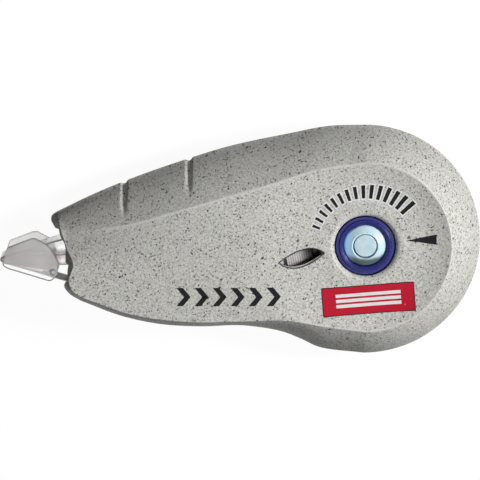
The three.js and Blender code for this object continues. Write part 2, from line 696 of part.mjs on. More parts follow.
function applicatorTip() {
  const [pivotX, pivotY] = PIVOT;
  const half = TAPE_WIDTH / 2;
  const inner = half + PLATE_CLEARANCE;
  const outer = inner + PLATE_THICKNESS;
  const bore = PIVOT_RADIUS + GAP;
  const plate = outlineOf(PLATE_OUTLINE);
  const blade = bladeOutline();
  const web = prism(blade, -inner - OVERLAP, inner + OVERLAP).intersect(prism(plate, -outer, outer));
  return prism(plate, inner, outer)
    .add(prism(plate, -outer, -inner))
    .add(rod(PLATE_BOSS.radius, inner, outer + PLATE_BOSS.rise, PLATE_BOSS.at))
    .add(rod(PLATE_BOSS.radius, -outer - PLATE_BOSS.rise, -inner, PLATE_BOSS.at))
    .add(web)
    .add(prism(blade, -half, half))
    .add(rod(bore + EYE_WALL, -half, half, PIVOT, MIDDLE_SIDES))
    .add(block([pivotX, pivotY - TAIL_HALF, -TAIL_DEEP], [TAIL_END, pivotY + TAIL_HALF, TAIL_DEEP]))
    .subtract(rod(bore, -TAPE_WIDTH, TAPE_WIDTH, PIVOT, MIDDLE_SIDES));
}

// Assembly

function piece(name, body, finish, at = AXIS, turn = 0) {
  const mesh = new THREE.Mesh(geometryOf(body), new THREE.MeshStandardMaterial(finish));
  mesh.name = name;
  mesh.position.set(at[0], at[1], 0);
  mesh.rotation.z = turn;
  return mesh;
}

const correctionTape = new THREE.Group();
correctionTape.position.z = HALF_THICKNESS;
const meshing = TAKE_UP_ANGLE + Math.PI + Math.PI / TAKE_UP_TEETH;
correctionTape.add(
  piece('case_front', caseFront(), CASE_GREY),
  piece('case_back', caseBack(), CASE_GREY),
  piece('hub_cap', hubCap(), ICE),
  piece('hub_pin', hubPin(), ICE),
  piece('supply_spool', supplySpool(), NAVY),
  piece('tape_roll', tapeRoll(), TAPE_WHITE),
  piece('film_washer', filmWasher(), FILM),
  piece('drive_gear', driveGear(), GEAR_WHITE, AXIS, TAKE_UP_ANGLE),
  piece('friction_ring', frictionRing(), RUBBER),
  piece('take_up_reel', takeUpReel(), GEAR_WHITE, TAKE_UP_AT, meshing),
  piece('spent_roll', spentRoll(), FILM, TAKE_UP_AT),
  piece('fresh_tape', freshTape(), TAPE_WHITE),
  piece('spent_tape', spentTape(), FILM),
  piece('tape_loop', tapeLoop(), TAPE_WHITE),
  piece('applicator_tip', applicatorTip(), CLEAR),
);

export default correctionTape;
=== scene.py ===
"""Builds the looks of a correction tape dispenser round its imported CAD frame."""
import math

import bmesh
import bpy
import numpy as np
from mathutils import Matrix, Vector


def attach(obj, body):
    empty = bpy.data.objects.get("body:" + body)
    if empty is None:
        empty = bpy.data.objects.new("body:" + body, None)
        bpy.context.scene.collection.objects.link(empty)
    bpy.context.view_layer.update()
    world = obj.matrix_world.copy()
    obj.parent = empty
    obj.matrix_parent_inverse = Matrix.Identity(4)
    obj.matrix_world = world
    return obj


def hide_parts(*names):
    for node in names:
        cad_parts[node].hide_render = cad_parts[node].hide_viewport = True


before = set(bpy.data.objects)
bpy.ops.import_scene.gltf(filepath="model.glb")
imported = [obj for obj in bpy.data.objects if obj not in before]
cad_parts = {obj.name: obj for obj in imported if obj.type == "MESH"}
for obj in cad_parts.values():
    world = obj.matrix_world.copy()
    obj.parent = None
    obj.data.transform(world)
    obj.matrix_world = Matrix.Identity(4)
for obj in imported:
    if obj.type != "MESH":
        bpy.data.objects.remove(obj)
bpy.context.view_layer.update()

bl_info = {
    "name": "Correction tape dispenser",
    "version": (1, 0, 0),
    "blender": (4, 5, 0),
    "location": "View3D > Sidebar > Tape",
    "description": "Dresses a correction tape dispenser with its shells, gears, tape, tip and prints",
    "category": "Object",
}

MM = 0.001

# Case outline in millimetres from the spool axis, on the parting plane and at the crease of the face
BACK_PLANE = 7.7
REAR_RADIUS = 20.1
FACE_RADIUS = 14.75
UPPER_EDGE = [(-6.1, 19.9), (-13, 18.6), (-23.2, 16.4), (-31.3, 13.9), (-40.3, 10.7), (-47, 7.9), (-53.2, 4.9)]
LOWER_EDGE = [(-7.6, -19.1), (-11.1, -17.5), (-14.6, -16.2), (-21.5, -15.2), (-28.4, -15.4), (-35.4, -15),
              (-42.3, -13.5), (-49.3, -10.8)]
FRONT_EDGE = [(-53.2, 4.9), (-54.1, 4.2), (-54.2, 3.3), (-53.6, 2.4), (-52.7, 1.6), (-52.2, -2.6), (-51.6, -7),
              (-52.1, -8.2), (-51.2, -9.6), (-49.3, -10.8)]
UPPER_CREASE = [(-8.3, 13.5), (-18, 10.5), (-30.6, 6.8), (-42.8, 3.3), (-52.3, 2.3)]
LOWER_CREASE = [(-6.6, -13.9), (-13.5, -12.8), (-21.5, -12.9), (-30.2, -13), (-39.7, -11.8), (-46.8, -9.4)]
FRONT_CREASE = [(-52.3, 2.3), (-51.3, -0.7), (-50.1, -3), (-50.8, -5.4), (-50.5, -7.2), (-49.3, -8.3),
                (-46.8, -9.4)]
FACE_RIDGE = [(-46, -3.6), (-39.5, -4.4), (-31, -4.2), (-22.4, -3.2), (-10, -1)]
BEVEL_ARC = (math.radians(25), math.radians(55))
SEAM_DEPTH = 0.12
SEAM_HEIGHT = 0.2

# Face relief in millimetres
DISH_DEPTH = 1.2
DISH_WALL = 6.4
DISH_FADE = (-24, -6)
DISH_STRETCH = 0.65
SCOOP_FROM = -24
SCOOP_TO = -51.5
SCOOP_DEPTH = 1.8
SCOOP_EDGE_DROP = 3.5
SCOOP_ONSET = 2.4
SCOOP_TOP_Y = 2
SCOOP_TOP_SLOPE = 0.264
SCOOP_FOOT_Y = -3
SCOOP_FOOT_SAG = 1.45

# Openings and details of the case in millimetres
HUB_HOLE = 5.3
WINDOW_LEFT, WINDOW_TOP, WINDOW_RIGHT, WINDOW_BOTTOM = (-14.9, -2.8), (-10.4, -0.5), (-7.1, -1.2), (-11.4, -3.6)
GROOVES_AT = (-41.5, -30.3)
MOUTH_X = (-55.3, -48)
MOUTH_MIDDLE = -51
MOUTH_TALL, MOUTH_LOW = 5.6, 3.2
CREASE_STEPS = (0.006, 0.014, 0.028, 0.05, 0.08, 0.11, 0.14, 0.17, 0.2, 0.25)
# A highlight painted along the crease of the face and round the hub hole: its reach, where it stops on the upper and
# lower crease, and its radius at the hole
HIGHLIGHT_WIDTH = 0.38
UPPER_HIGHLIGHT_TO, LOWER_HIGHLIGHT_TO = -45, -10
HUB_HOLE_HIGHLIGHT = HUB_HOLE + 0.35

# Hub turned about the spool axis, as (radius, height) in millimetres from the parting plane
FLANGE_LOW, FLANGE_TOP = -3.6, -2.8
SPOOL_PROFILE = [(3.65, FLANGE_LOW), (8, FLANGE_LOW), (8, FLANGE_TOP), (6.2, FLANGE_TOP), (6.2, 2.94), (5.1, 2.94),
                 (5.1, 5.72), (4.98, 5.84), (4.55, 5.76), (4.48, 6), (4.34, 6.08), (3.95, 5.95), (3.65, 5.72)]
CROWN_PROFILE = [(2.1, 4.9), (3.55, 4.9), (3.55, 5.45), (3.42, 5.72), (2.3, 6.42), (2.1, 6.36)]
PIN_PROFILE = [(0, -1.75), (1.75, -1.75), (1.92, -1.5), (1.92, 6.25), (1.82, 6.38), (0, 6.38)]
PIN_AT = (0, 0.06)

# Posts of the case, as steps of (radius, height) in millimetres
POST_SHOULDER = -3.9
POST_BORE = 2.3
HUB_POST = [(5, POST_SHOULDER), (3.6, 4.6)]
REEL_POST = [(2.6, POST_SHOULDER), (1.8, 5.5)]
GUIDE_RADIUS = 1.2
GUIDE_POST = [(GUIDE_RADIUS, 3.2)]
TIP_POST = [(1.8, -2.8), (1, 3.2)]

# Gears in millimetres, their profiles as (radius, height)
GEAR_LOW, GEAR_TOP = 3.24, 4.84
TEETH_TOP = GEAR_TOP - 0.6
GEAR_MODULE = 0.5
BACKLASH = 0.12
DRIVE_TEETH = 50
TAKE_UP_TEETH = 22
TAKE_UP_ANGLE = math.pi + 0.035
TAKE_UP_DISTANCE = GEAR_MODULE * (DRIVE_TEETH + TAKE_UP_TEETH) / 2
TAKE_UP_AT = (TAKE_UP_DISTANCE * math.cos(TAKE_UP_ANGLE), TAKE_UP_DISTANCE * math.sin(TAKE_UP_ANGLE))
TEETH_BORE = 11.4
COVER_RADIUS = 13.7
COVER_FOOT = GEAR_TOP - 0.25
COVER_PROFILE = [(9, COVER_FOOT), (11.3, COVER_FOOT), (11.3, GEAR_LOW), (11.6, GEAR_LOW), (11.6, COVER_FOOT),
                 (COVER_RADIUS, COVER_FOOT)]
COVER_RIDGES = [(COVER_RADIUS - 0.2 * k, GEAR_TOP - 0.07 * (k % 2)) for k in range(23)]
RIM_PROFILE = [(COVER_RADIUS, COVER_FOOT), (14.1, COVER_FOOT), (14.1, GEAR_TOP - 0.1), (COVER_RADIUS, GEAR_TOP)]
WEB_BORE, WEB_RADIUS = 6.9, 11.35
WEB_TOP = GEAR_LOW + 0.5
SLOT_INNER, SLOT_OUTER, SLOT_SPAN = 7.2, 8.1, 1.5
COLLAR_BORE, COLLAR_RADIUS = 6.3, 7.05
SEAT_BORE, SEAT_RADIUS = 5.5, 6.4
REEL_BORE = 2.1
REEL_PROFILE = [(REEL_BORE, FLANGE_LOW), (6.2, FLANGE_LOW), (6.2, FLANGE_TOP), (3.6, FLANGE_TOP), (3.6, TEETH_TOP),
                (5.8, TEETH_TOP + 0.05), (5.8, TEETH_TOP + 0.28), (REEL_BORE, TEETH_TOP + 0.28)]
RUBBER_HALF = 0.4
RUBBER_AT = (5.72, GEAR_TOP - 0.92 + 0.12 + RUBBER_HALF)

# Tape and its path in millimetres
TAPE_HALF_WIDTH = 2.5
TAPE_HALF = 0.075
TAPE_GAP = 0.12
GAP = 0.3
ROLL_CORE, ROLL_RADIUS = 6.5, 11.7
SPENT_CORE, SPENT_RADIUS = 3.9, 4.9
LAYER_STEP = 0.05
WASHER_LOW, WASHER_TOP = 2.62, 2.82
UPPER_GUIDE = (-46, 1)
LOWER_GUIDE = (-46, -7.1)
LOOP_END = -48.4
FILM_EDGE = (2.4, 2.51)

# Applicator tip in millimetres
TIP_EDGE = (-63, -3.1)
TIP_RADIUS = 0.25
BLADE_BACK = -56
BLADE_HALF_WIDTH = 2.5
PIVOT = (-43.5, -3.1)
EYE_BORE, EYE_RADIUS = 1.3, 2.1
ARM_FRONT = -54.2
ARM_HALF = 0.9
TAIL_X = (-41.6, -36)
TAIL_HALF = 0.4
TAIL_HALF_WIDTH = 1.5
WEB_OUTLINE = [(-60.5, -3.9), (-53.6, -4.2), (-53.6, -2), (-60.5, -2.3)]
WEB_HALF_WIDTH = 2.75
PLATE_OUTLINE = [(-61.7, -0.8), (-57.5, 0.8), (-56.8, 0.8), (-54.8, -0.3), (-53.4, -2.1), (-52.8, -3.5),
                 (-53.1, -5.7), (-54, -6.6), (-54.6, -6.7), (-57.8, -5.7), (-61.4, -4.6), (-62.25, -4.2),
                 (-62.6, -3.6)]
PANEL_OUTLINE = [(-61.6, -0.95), (-57.5, 0.65), (-56.85, 0.65), (-54.9, -0.4), (-53.55, -2.15), (-52.95, -3.5),
                 (-53.1, -5.2), (-53.8, -5.4), (-56.5, -4.57), (-62.35, -3.75)]
PLATE_LOW, PLATE_HIGH = 2.7, 3.5
PLATE_ROUNDING = 0.08
BOSS_AT = (-53.9, -5.1)
BOSS_RADIUS = 0.5
BOSS_RISE = 0.2
GUSSET_TOP = [(-55.6, -0.9), (-50, 0.6), (-48.8, 0.6)]
GUSSET_FOOT = 0.95
RIM_WIDTH = 0.16
ARM_RIM_X = (ARM_FRONT, -48)
ARM_RIM_Y = 0.83

# Prints in millimetres
PRINT_CELL = 0.5
TICKS = 15
FIRST_TICK, TICK_STEP = math.radians(158), math.radians(8.2)
TICK_INNER, TICK_OUTER, TICK_GROWTH = 8.4, 9.8, 1.6
TICK_HALF, TICK_HALF_GROWTH = 0.24, 0.16
TICK_BORDER = 0.22
CHEVRON_X = [-32.4 + i * 3.1 for i in range(6)]
CHEVRON_Y, CHEVRON_HALF = -8.6, 1.6
WEDGE_OUTLINE = [(7, 1.0), (12.2, 0.4), (12.2, 2.2)]
LABEL_AT = np.array((0.6, -9.2))
LABEL_TURN = math.radians(4.5)
LABEL_CORNER = 0.2
STRIPE_HALF = 0.28

# Stage in metres, and the sensor in millimetres
FLOOR_HALF = 3
FLOOR_HEIGHT = -0.00002
KEY_LAMP_AT, KEY_LAMP_SIZE = (0.28, 0.075, 0.25), 0.09
TOP_LAMP_AT, TOP_LAMP_SIZE = (0, -0.17, 0.88), 0.2
LAMP_AIM = Vector((-0.02, 0, 0))
AIM_Y = -0.00012
SENSOR_WIDTH = 36


def tone(name, description, default):
    """A colour that a user may change"""
    return bpy.props.FloatVectorProperty(
        name=name, description=description, subtype="COLOR", size=3, default=default)


def millimetres(name, description, default, low, high):
    """A size that a user may change"""
    return bpy.props.FloatProperty(
        name=name, description=description + ", in millimetres", default=default, min=low, max=high)


class CaseSettings(bpy.types.PropertyGroup):
    """Sizes and colours of the moulded case"""
    wall: millimetres("Wall", "Wall of the shells", 1.2, 0.6, 2)
    hub_chamfer: millimetres("Hub chamfer", "Chamfer round the hub hole", 0.6, 0, 1.5)
    groove_width: millimetres("Groove width", "Width of a groove", 1.5, 0.5, 3)
    groove_depth: millimetres("Groove depth", "Depth of a groove", 0.5, 0.1, 1)
    colour: tone("Plastic", "Ground colour of the recycled plastic", (0.655, 0.65, 0.61))
    fleck_colour: tone("Flecks", "Colour of the dark flecks", (0.045, 0.038, 0.034))
    pale_colour: tone("Pale flecks", "Colour of the pale flecks", (0.86, 0.85, 0.81))
    # Pale colour painted along the crease and round the hub hole as a highlight
    highlight_colour: tone("Painted highlight", "Colour of the highlight painted along the crease of the face", (0.8, 0.79, 0.76))


class HubSettings(bpy.types.PropertyGroup):
    """Colours of the hub and the gears"""
    navy: tone("Spool", "Colour of the spool's ring", (0.015, 0.018, 0.16))
    ice: tone("Crown", "Colour of the crown and its pin", (0.62, 0.8, 0.88))
    # Painted light: the bluer colour of the crown's left side, which also feeds its faint glow
    blue: tone("Crown's left", "Colour of the crown where it turns to the tip", (0.36, 0.68, 0.95))
    # Painted shade: the slate of the crown's lower side; the fine grains take this colour too
    slate: tone("Crown's foot", "Colour of the crown on its lower side", (0.08, 0.13, 0.15))
    # Painted shade: the dark of the drive gear near the hub and of the edge round the window
    shade: tone("Shade", "Colour of the window's edge and of the drive gear near the hub", (0.02, 0.02, 0.022))
    gear: tone("Drive gear", "Colour of the drive gear", (0.55, 0.53, 0.52))
    # Painted shade: the dark of the sunk web and of the rim round the cover
    web: tone("Gear web", "Colour of the sunk web and the rim of the drive gear", (0.09, 0.085, 0.085))
    reel: tone("Reel", "Colour of the take-up reel", (0.93, 0.96, 0.98))


class TipSettings(bpy.types.PropertyGroup):
    """Colours of the tip and the tape"""
    clear: tone("Tip", "Tint of the clear side plates", (0.9, 0.885, 0.88))
    arm: tone("Arm", "Tint of the blade and its arm", (0.74, 0.68, 0.65))
    smoke: tone("Frosted panel", "Tint of the frosted panel of the near plate", (0.36, 0.335, 0.33))
    # Painted shade: dark lines along the edges of the clear plastic and of the film
    rim: tone("Rim", "Shade painted along the edges of the clear plastic and of the film", (0.1, 0.095, 0.09))
    tape: tone("Tape", "Colour of the correction tape", (0.74, 0.73, 0.71))
    film: tone("Film", "Colour of the bare carrier film", (0.88, 0.87, 0.86))


class PrintSettings(bpy.types.PropertyGroup):
    """Colours of the plain prints on the face"""
    black: tone("Black ink", "Colour of the dark print", (0.012, 0.012, 0.014))
    red: tone("Red ink", "Colour of the red print", (0.55, 0.012, 0.035))
    white: tone("White ink", "Colour of the white print", (0.85, 0.84, 0.84))


class StageSettings(bpy.types.PropertyGroup):
    """Camera and light"""
    tilt: bpy.props.FloatProperty(
        name="Camera tilt", description="How far the camera leans to the upper edge of the case",
        subtype="ANGLE", default=math.radians(11), min=0, max=math.radians(45))
    distance: bpy.props.FloatProperty(
        name="Camera distance", description="From the camera to the case", subtype="DISTANCE", default=0.6, min=0.2)
    span: bpy.props.FloatProperty(
        name="Framed width", description="Width that the picture shows at the case", subtype="DISTANCE",
        default=0.08326, min=0.02)
    middle_x: bpy.props.FloatProperty(
        name="Middle", description="Where the picture's middle lies along the case", subtype="DISTANCE",
        default=-0.02151)
    key_power: bpy.props.FloatProperty(
        name="Side light", description="Power of the lamp at the round end, in watts", default=1.36, min=0)
    top_power: bpy.props.FloatProperty(
        name="Top light", description="Power of the lamp overhead, in watts", default=1.7, min=0)
    sky: bpy.props.FloatProperty(name="Sky", description="Strength of the even light", default=0.02, min=0)


SETTINGS = {
    "tape_case": CaseSettings,
    "tape_hub": HubSettings,
    "tape_tip": TipSettings,
    "tape_prints": PrintSettings,
    "tape_stage": StageSettings,
}


def settings(group):
    return getattr(bpy.context.scene, group)


# Materials

def math_node(operation, swapped=False):
    """A method of Socket that adds a Math node for itself and another value"""
    def add(socket, other):
        values = (other, socket) if swapped else (socket, other)
        return socket.paint.node("ShaderNodeMath", {"operation": operation}, dict(enumerate(values)))[0]

    return add


class Socket:
    """A shader value on which plain sums build Math nodes"""
    __add__, __radd__ = math_node("ADD"), math_node("ADD", True)
    __sub__, __rsub__ = math_node("SUBTRACT"), math_node("SUBTRACT", True)
    __mul__, __rmul__ = math_node("MULTIPLY"), math_node("MULTIPLY", True)
    __gt__ = math_node("GREATER_THAN")
    highest = math_node("MAXIMUM")

    def __init__(self, paint, link):
        self.paint = paint
        self.link = link


class Paint:
    """The nodes of a material or of the world"""

    def __init__(self, owner, **constants):
        owner.use_nodes = True
        self.owner = owner
        self.tree = owner.node_tree
        self.shader = next(n for n in self.tree.nodes if n.type in ("BSDF_PRINCIPLED", "BACKGROUND"))
        for socket, value in constants.items():
            self.shader.inputs[socket.replace("_", " ")].default_value = value

    def node(self, kind, settings, inputs):
        """Adds a node, sets it, then fills its sockets; gives back its outputs"""
        node = self.tree.nodes.new(kind)
        for setting, value in settings.items():
            setattr(node, setting, value)
        for socket, value in inputs.items():
            self._fill(node.inputs[socket], value)
        return [Socket(self, output) for output in node.outputs]

    def feed(self, socket, value):
        """Fills a socket of the material's own shader"""
        self._fill(self.shader.inputs[socket], value)

    def _fill(self, socket, value):
        if isinstance(value, Socket):
            self.tree.links.new(value.link, socket)
        else:
            socket.default_value = value

    def place(self, turn=0.0, stretch=(1, 1, 1)):
        """Object coordinates in millimetres, turned about all three axes and then stretched"""
        where = self.node("ShaderNodeTexCoord", {}, {})[3]
        return self.node("ShaderNodeMapping", {"vector_type": "TEXTURE"}, {
            "Vector": where,
            "Rotation": (turn / 3, turn / 2, turn),
            "Scale": tuple(MM / s for s in stretch),
        })[0]

    def across_and_up(self):
        """The x and y of a point, in millimetres from the spool axis"""
        return self.node("ShaderNodeSeparateXYZ", {}, {0: self.place()})[:2]

    def noise(self, scale, detail=3.0, roughness=0.5, where=None):
        return self.node("ShaderNodeTexNoise", {}, {
            "Vector": where or self.place(), "Scale": scale, "Detail": detail, "Roughness": roughness,
        })[0]

    def ramp(self, value, low, high, bottom=0.0, top=1.0):
        """Takes a value from one range to another and stops at its ends"""
        return self.node("ShaderNodeMapRange", {"interpolation_type": "SMOOTHSTEP"}, {
            0: value, 1: low, 2: high, 3: bottom, 4: top,
        })[0]

    def edge(self):
        """How near a point lies to an edge that note_edges has noted, from 0 to 1"""
        return self.node("ShaderNodeAttribute", {"attribute_name": "edge"}, {})[2]

    def flecks(self, spacing, radius, share, turn=0.0, stretch=(1, 1, 1)):
        """A mask of small grains of half to full radius: one a cell, of which only a share is kept"""
        cells = self.node("ShaderNodeTexVoronoi", {"feature": "F1"}, {
            "Vector": self.place(turn, stretch), "Scale": 1 / spacing, "Randomness": 1.0,
        })
        chosen = self.node("ShaderNodeSeparateColor", {}, {0: cells[1]})
        size = chosen[1] * 0.6 + 0.5
        near = self.ramp(cells[0] - size * (radius / spacing), 0.04, -0.04)
        return near * (chosen[0] > (1 - share))

    def mix(self, factor, first, second):
        """Mixes two colours"""
        return self.node("ShaderNodeMix", {"data_type": "RGBA"}, {0: factor, 6: rgba(first), 7: rgba(second)})[2]

    def bump(self, height, strength, distance):
        """Lifts the surface by a height field, in millimetres"""
        self.feed("Normal", self.node("ShaderNodeBump", {}, {
            "Height": height, "Strength": strength, "Distance": distance * MM,
        })[0])


def rgba(value):
    return value if isinstance(value, Socket) else (*tuple(value)[:3], 1.0)


def toned(colour, share):
    """A colour made darker or lighter"""
    return [min(1.0, c * share) for c in colour]


def new_paint(name, **constants):
    return Paint(bpy.data.materials.new(name), **constants)


def recycled_plastic():
    """Grey plastic full of fine grain, with pale and dark flecks and short fibres of many directions, and a highlight
    painted along the noted edges
    """
    case = settings("tape_case")
    paint = new_paint("recycled_plastic", Roughness=0.45, Specular_IOR_Level=0.03)
    grain = paint.noise(3.2, 1, 0.8)
    ground = paint.mix(paint.ramp(grain, 0.34, 0.64), toned(case.colour, 0.73), toned(case.colour, 1.15))
    cloud = paint.ramp(paint.noise(0.3, 2), 0.35, 0.65, 0, 0.2)
    ground = paint.mix(cloud, ground, toned(case.colour, 0.9))
    ground = paint.mix(paint.flecks(0.5, 0.12, 0.5) * 0.8, ground, case.pale_colour)
    dark = paint.flecks(0.5, 0.13, 0.6) * 0.95
    dark = dark.highest(paint.flecks(0.8, 0.17, 0.5, 1.1))
    for turn in (0.4, 1.2, 2.0, 2.8):
        dark = dark.highest(paint.flecks(0.9, 0.15, 0.45, turn, (0.4, 1.6, 1)))
    dark = dark.highest(paint.flecks(2.2, 0.26, 0.4, 0.9, (0.8, 1.2, 1)))
    fade = paint.ramp(paint.noise(0.9, 1), 0.3, 0.7, 0.72, 1)
    ground = paint.mix(dark * fade, ground, case.fleck_colour)
    # Painted highlight: paler toward the lines that note_edges noted
    paint.feed("Base Color", paint.mix(paint.edge() * 0.75, ground, case.highlight_colour))
    paint.bump(grain * 0.6 + paint.noise(7, 2) * 0.4, 0.25, 0.05)
    return paint.owner


def moulded_plastic(name, colour, roughness=0.3, shine=0.5):
    """Plain moulded plastic with a slight flow pattern and fine scratches"""
    paint = new_paint(name, Specular_IOR_Level=shine)
    flow = paint.ramp(paint.noise(0.5, 3), 0.3, 0.7)
    paint.feed("Base Color", paint.mix(flow, toned(colour, 0.9), toned(colour, 1.08)))
    scratches = paint.noise(2.5, 4)
    paint.feed("Roughness", paint.ramp(scratches, 0.3, 0.7, roughness * 0.8, roughness * 1.25))
    paint.bump(paint.noise(1.4, 2), 0.1, 0.04)
    return paint.owner


def gear_plastic(colour, shade):
    """Plastic of the drive gear, grey at its rim and ever darker toward the hub: painted shade where the case keeps
    the light off the gear
    """
    paint = new_paint("gear_plastic", Roughness=0.4, Specular_IOR_Level=0.2)
    x, y = paint.across_and_up()
    dust = paint.ramp(paint.noise(0.9, 3), 0.3, 0.7)
    ground = paint.mix(dust, toned(colour, 0.88), toned(colour, 1.1))
    # Painted shade: darker toward the hub
    paint.feed("Base Color", paint.mix(paint.ramp(x * x + y * y, 88, 150), shade, ground))
    paint.bump(paint.noise(1.4, 2), 0.1, 0.04)
    return paint.owner


def crown_plastic():
    """Milky plastic of the crown with a few fine grains; light carried through it is painted as a bluer tint and a
    faint glow on its left, shade as slate on its lower side
    """
    hub = settings("tape_hub")
    paint = new_paint("ice_plastic", Roughness=0.24, Specular_IOR_Level=0.5, Emission_Strength=1.0)
    x, y = paint.across_and_up()
    # Painted light: bluer toward the left
    ground = paint.mix(paint.ramp(x, -1.4, -3.4), hub.ice, hub.blue)
    # Painted shade: slate on the lower side, with a ragged edge
    foot = paint.ramp(y - x * x * 0.07 + paint.noise(0.6, 1) * 0.5, -1.6, -2.4)
    ground = paint.mix(foot, ground, hub.slate)
    ground = paint.mix(paint.flecks(0.4, 0.07, 0.35) * 0.5, ground, hub.slate)
    paint.feed("Base Color", ground)
    # Painted light: a faint blue glow on the left side
    paint.feed("Emission Color", paint.mix(paint.ramp(x, -1.6, -3.4), (0, 0, 0), toned(hub.blue, 0.35)))
    paint.bump(paint.noise(1.4, 2), 0.1, 0.04)
    return paint.owner


def clear_plastic(name, tint, clearness=0.93):
    """Clear plastic of the tip"""
    paint = new_paint(name, Roughness=0.2, Specular_IOR_Level=0.25, IOR=1.49, Transmission_Weight=clearness)
    flow = paint.ramp(paint.noise(0.35, 2, where=paint.place(0.2, (0.5, 1.6, 1))), 0.3, 0.7)
    paint.feed("Base Color", paint.mix(flow, toned(tint, 0.93), tint))
    paint.bump(paint.noise(0.8, 2), 0.06, 0.03)
    return paint.owner


def tape_paint(name, colour, roughness, clearness):
    """Coated film with faint bands across and dusty grain"""
    paint = new_paint(name, Roughness=roughness, Transmission_Weight=clearness)
    bands = paint.noise(1.1, 2, where=paint.place(0.0, (2.5, 2.5, 0.15)))
    paint.feed("Base Color", paint.mix(paint.ramp(bands, 0.35, 0.65), toned(colour, 0.9), colour))
    paint.bump(bands, 0.15, 0.04)
    return paint.owner


def ink(name, colour):
    """Pad print that lets a few grains of the plastic show"""
    paint = new_paint(name, Roughness=0.5, Specular_IOR_Level=0.08)
    missed = paint.flecks(1.0, 0.1, 0.35) * 0.4
    paint.feed("Base Color", paint.mix(missed, colour, settings("tape_case").colour))
    paint.bump(paint.noise(2.6, 2, 0.7), 0.2, 0.04)
    return paint.owner


# Lines and outlines, in millimetres from the spool axis

def clamped(value):
    return min(1.0, max(0.0, value))


def smooth(value, low, high):
    t = clamped((value - low) / (high - low))
    return t * t * (3 - 2 * t)


def polar(radius, angle, centre=(0, 0)):
    """The point at a radius and an angle from a centre"""
    return centre[0] + radius * math.cos(angle), centre[1] + radius * math.sin(angle)


def axes(angle):
    """The directions along an angle and to its left"""
    return np.array(polar(1, angle)), np.array(polar(1, angle + math.pi / 2))


def arc(radius, start, span, steps, centre=(0, 0)):
    """Points along an arc, both ends included"""
    return [polar(radius, start + span * k / steps, centre) for k in range(steps + 1)]


def circle(radius, sides=96, at=(0, 0)):
    return arc(radius, 0, 2 * math.pi, sides, at)[:-1]


def arc_slot(inner, outer, start, span):
    """A curved slot with rounded ends"""
    middle, half, end = (inner + outer) / 2, (outer - inner) / 2, start + span
    return [*arc(outer, start, span, 18), *arc(half, end, math.pi, 8, polar(middle, end))[1:-1],
            *arc(inner, end, -span, 18), *arc(half, start + math.pi, math.pi, 8, polar(middle, start))[1:-1]]


def pulled(start, pull, end, share):
    """A point of the curve from start to end that a third point pulls out"""
    return start * (1 - share) ** 2 + pull * (2 * share * (1 - share)) + end * share ** 2


def rounded(profile, radius, steps=4):
    """Rounds every corner of a closed profile by a small radius, apart from those on the axis"""
    result = []
    for i, place in enumerate(profile):
        corner = Vector(place)
        if corner.x == 0:
            result.append(tuple(corner))
            continue
        before, after = Vector(profile[i - 1]) - corner, Vector(profile[(i + 1) % len(profile)]) - corner
        reach = min(radius, before.length / 2.2, after.length / 2.2)
        start, end = corner + before.normalized() * reach, corner + after.normalized() * reach
        result += [tuple(pulled(start, corner, end, k / steps)) for k in range(steps + 1)]
    return result


def offset_line(line, offset):
    """The line moved to its left"""
    moved = []
    for i, point in enumerate(line):
        ahead, behind = line[min(i + 1, len(line) - 1)], line[max(i - 1, 0)]
        length = math.hypot(ahead[0] - behind[0], ahead[1] - behind[1]) or 1
        moved.append((point[0] - (ahead[1] - behind[1]) / length * offset,
                      point[1] + (ahead[0] - behind[0]) / length * offset))
    return moved


def offset_loop(loop, offset):
    """The closed outline moved to its left"""
    return offset_line([loop[-1], *loop, loop[0]], offset)[1:-1]


def part_of(line, keep):
    """The points of a line that are kept, with the crossings at both ends"""
    kept = []
    for before, point in zip([line[0], *line], line):
        if keep(before) != keep(point):
            inside, outside = (point, before) if keep(point) else (before, point)
            for _ in range(30):
                middle = ((inside[0] + outside[0]) / 2, (inside[1] + outside[1]) / 2)
                inside, outside = (middle, outside) if keep(middle) else (inside, middle)
            kept.append(inside)
        if keep(point):
            kept.append(point)
    return kept


def curve_through(points, per_span=24):
    """A smooth centripetal curve through points, as a function of the share of its length"""
    points = [np.array(p, dtype=float) for p in points]
    ends = [2 * points[0] - points[1], *points, 2 * points[-1] - points[-2]]
    trail = []
    for p0, p1, p2, p3 in zip(ends, ends[1:], ends[2:], ends[3:]):
        d0, d1, d2 = (max(1e-4, np.linalg.norm(b - a) ** 0.5) for a, b in ((p0, p1), (p1, p2), (p2, p3)))
        m1 = ((p1 - p0) / d0 - (p2 - p0) / (d0 + d1) + (p2 - p1) / d1) * d1
        m2 = ((p2 - p1) / d1 - (p3 - p1) / (d1 + d2) + (p3 - p2) / d2) * d1
        for t in np.arange(per_span) / per_span:
            trail.append(p1 + m1 * t + (3 * (p2 - p1) - 2 * m1 - m2) * t ** 2 + (2 * (p1 - p2) + m1 + m2) * t ** 3)
    trail.append(points[-1])
    trail = np.array(trail)
    lengths = np.concatenate([[0], np.cumsum(np.linalg.norm(np.diff(trail, axis=0), axis=1))])

    def at(share):
        return np.array([np.interp(share * lengths[-1], lengths, trail[:, axis]) for axis in (0, 1)])

    return at


# Meshes, from points in millimetres from the spool axis and the parting plane

def raw_mesh(points, faces):
    mesh = bpy.data.meshes.new("part")
    mesh.from_pydata([(x * MM, y * MM, (z + BACK_PLANE) * MM) for x, y, z in points], [], faces)
    return mesh


def skin(rings):
    """Points and faces of a skin over rings of equally many points"""
    count = len(rings[0])
    points = [point for ring in rings for point in ring]
    faces = []
    for r in range(len(rings) - 1):
        for i in range(count):
            a, b = r * count + i, r * count + (i + 1) % count
            faces.append((a, b, b + count, a + count))
    return points, faces


def capped(rings, middle):
    """Rings whose first and last one are closed to a middle point"""
    first, last = ([(*middle, ring[0][2])] * len(ring) for ring in (rings[0], rings[-1]))
    return [first, *rings, last]


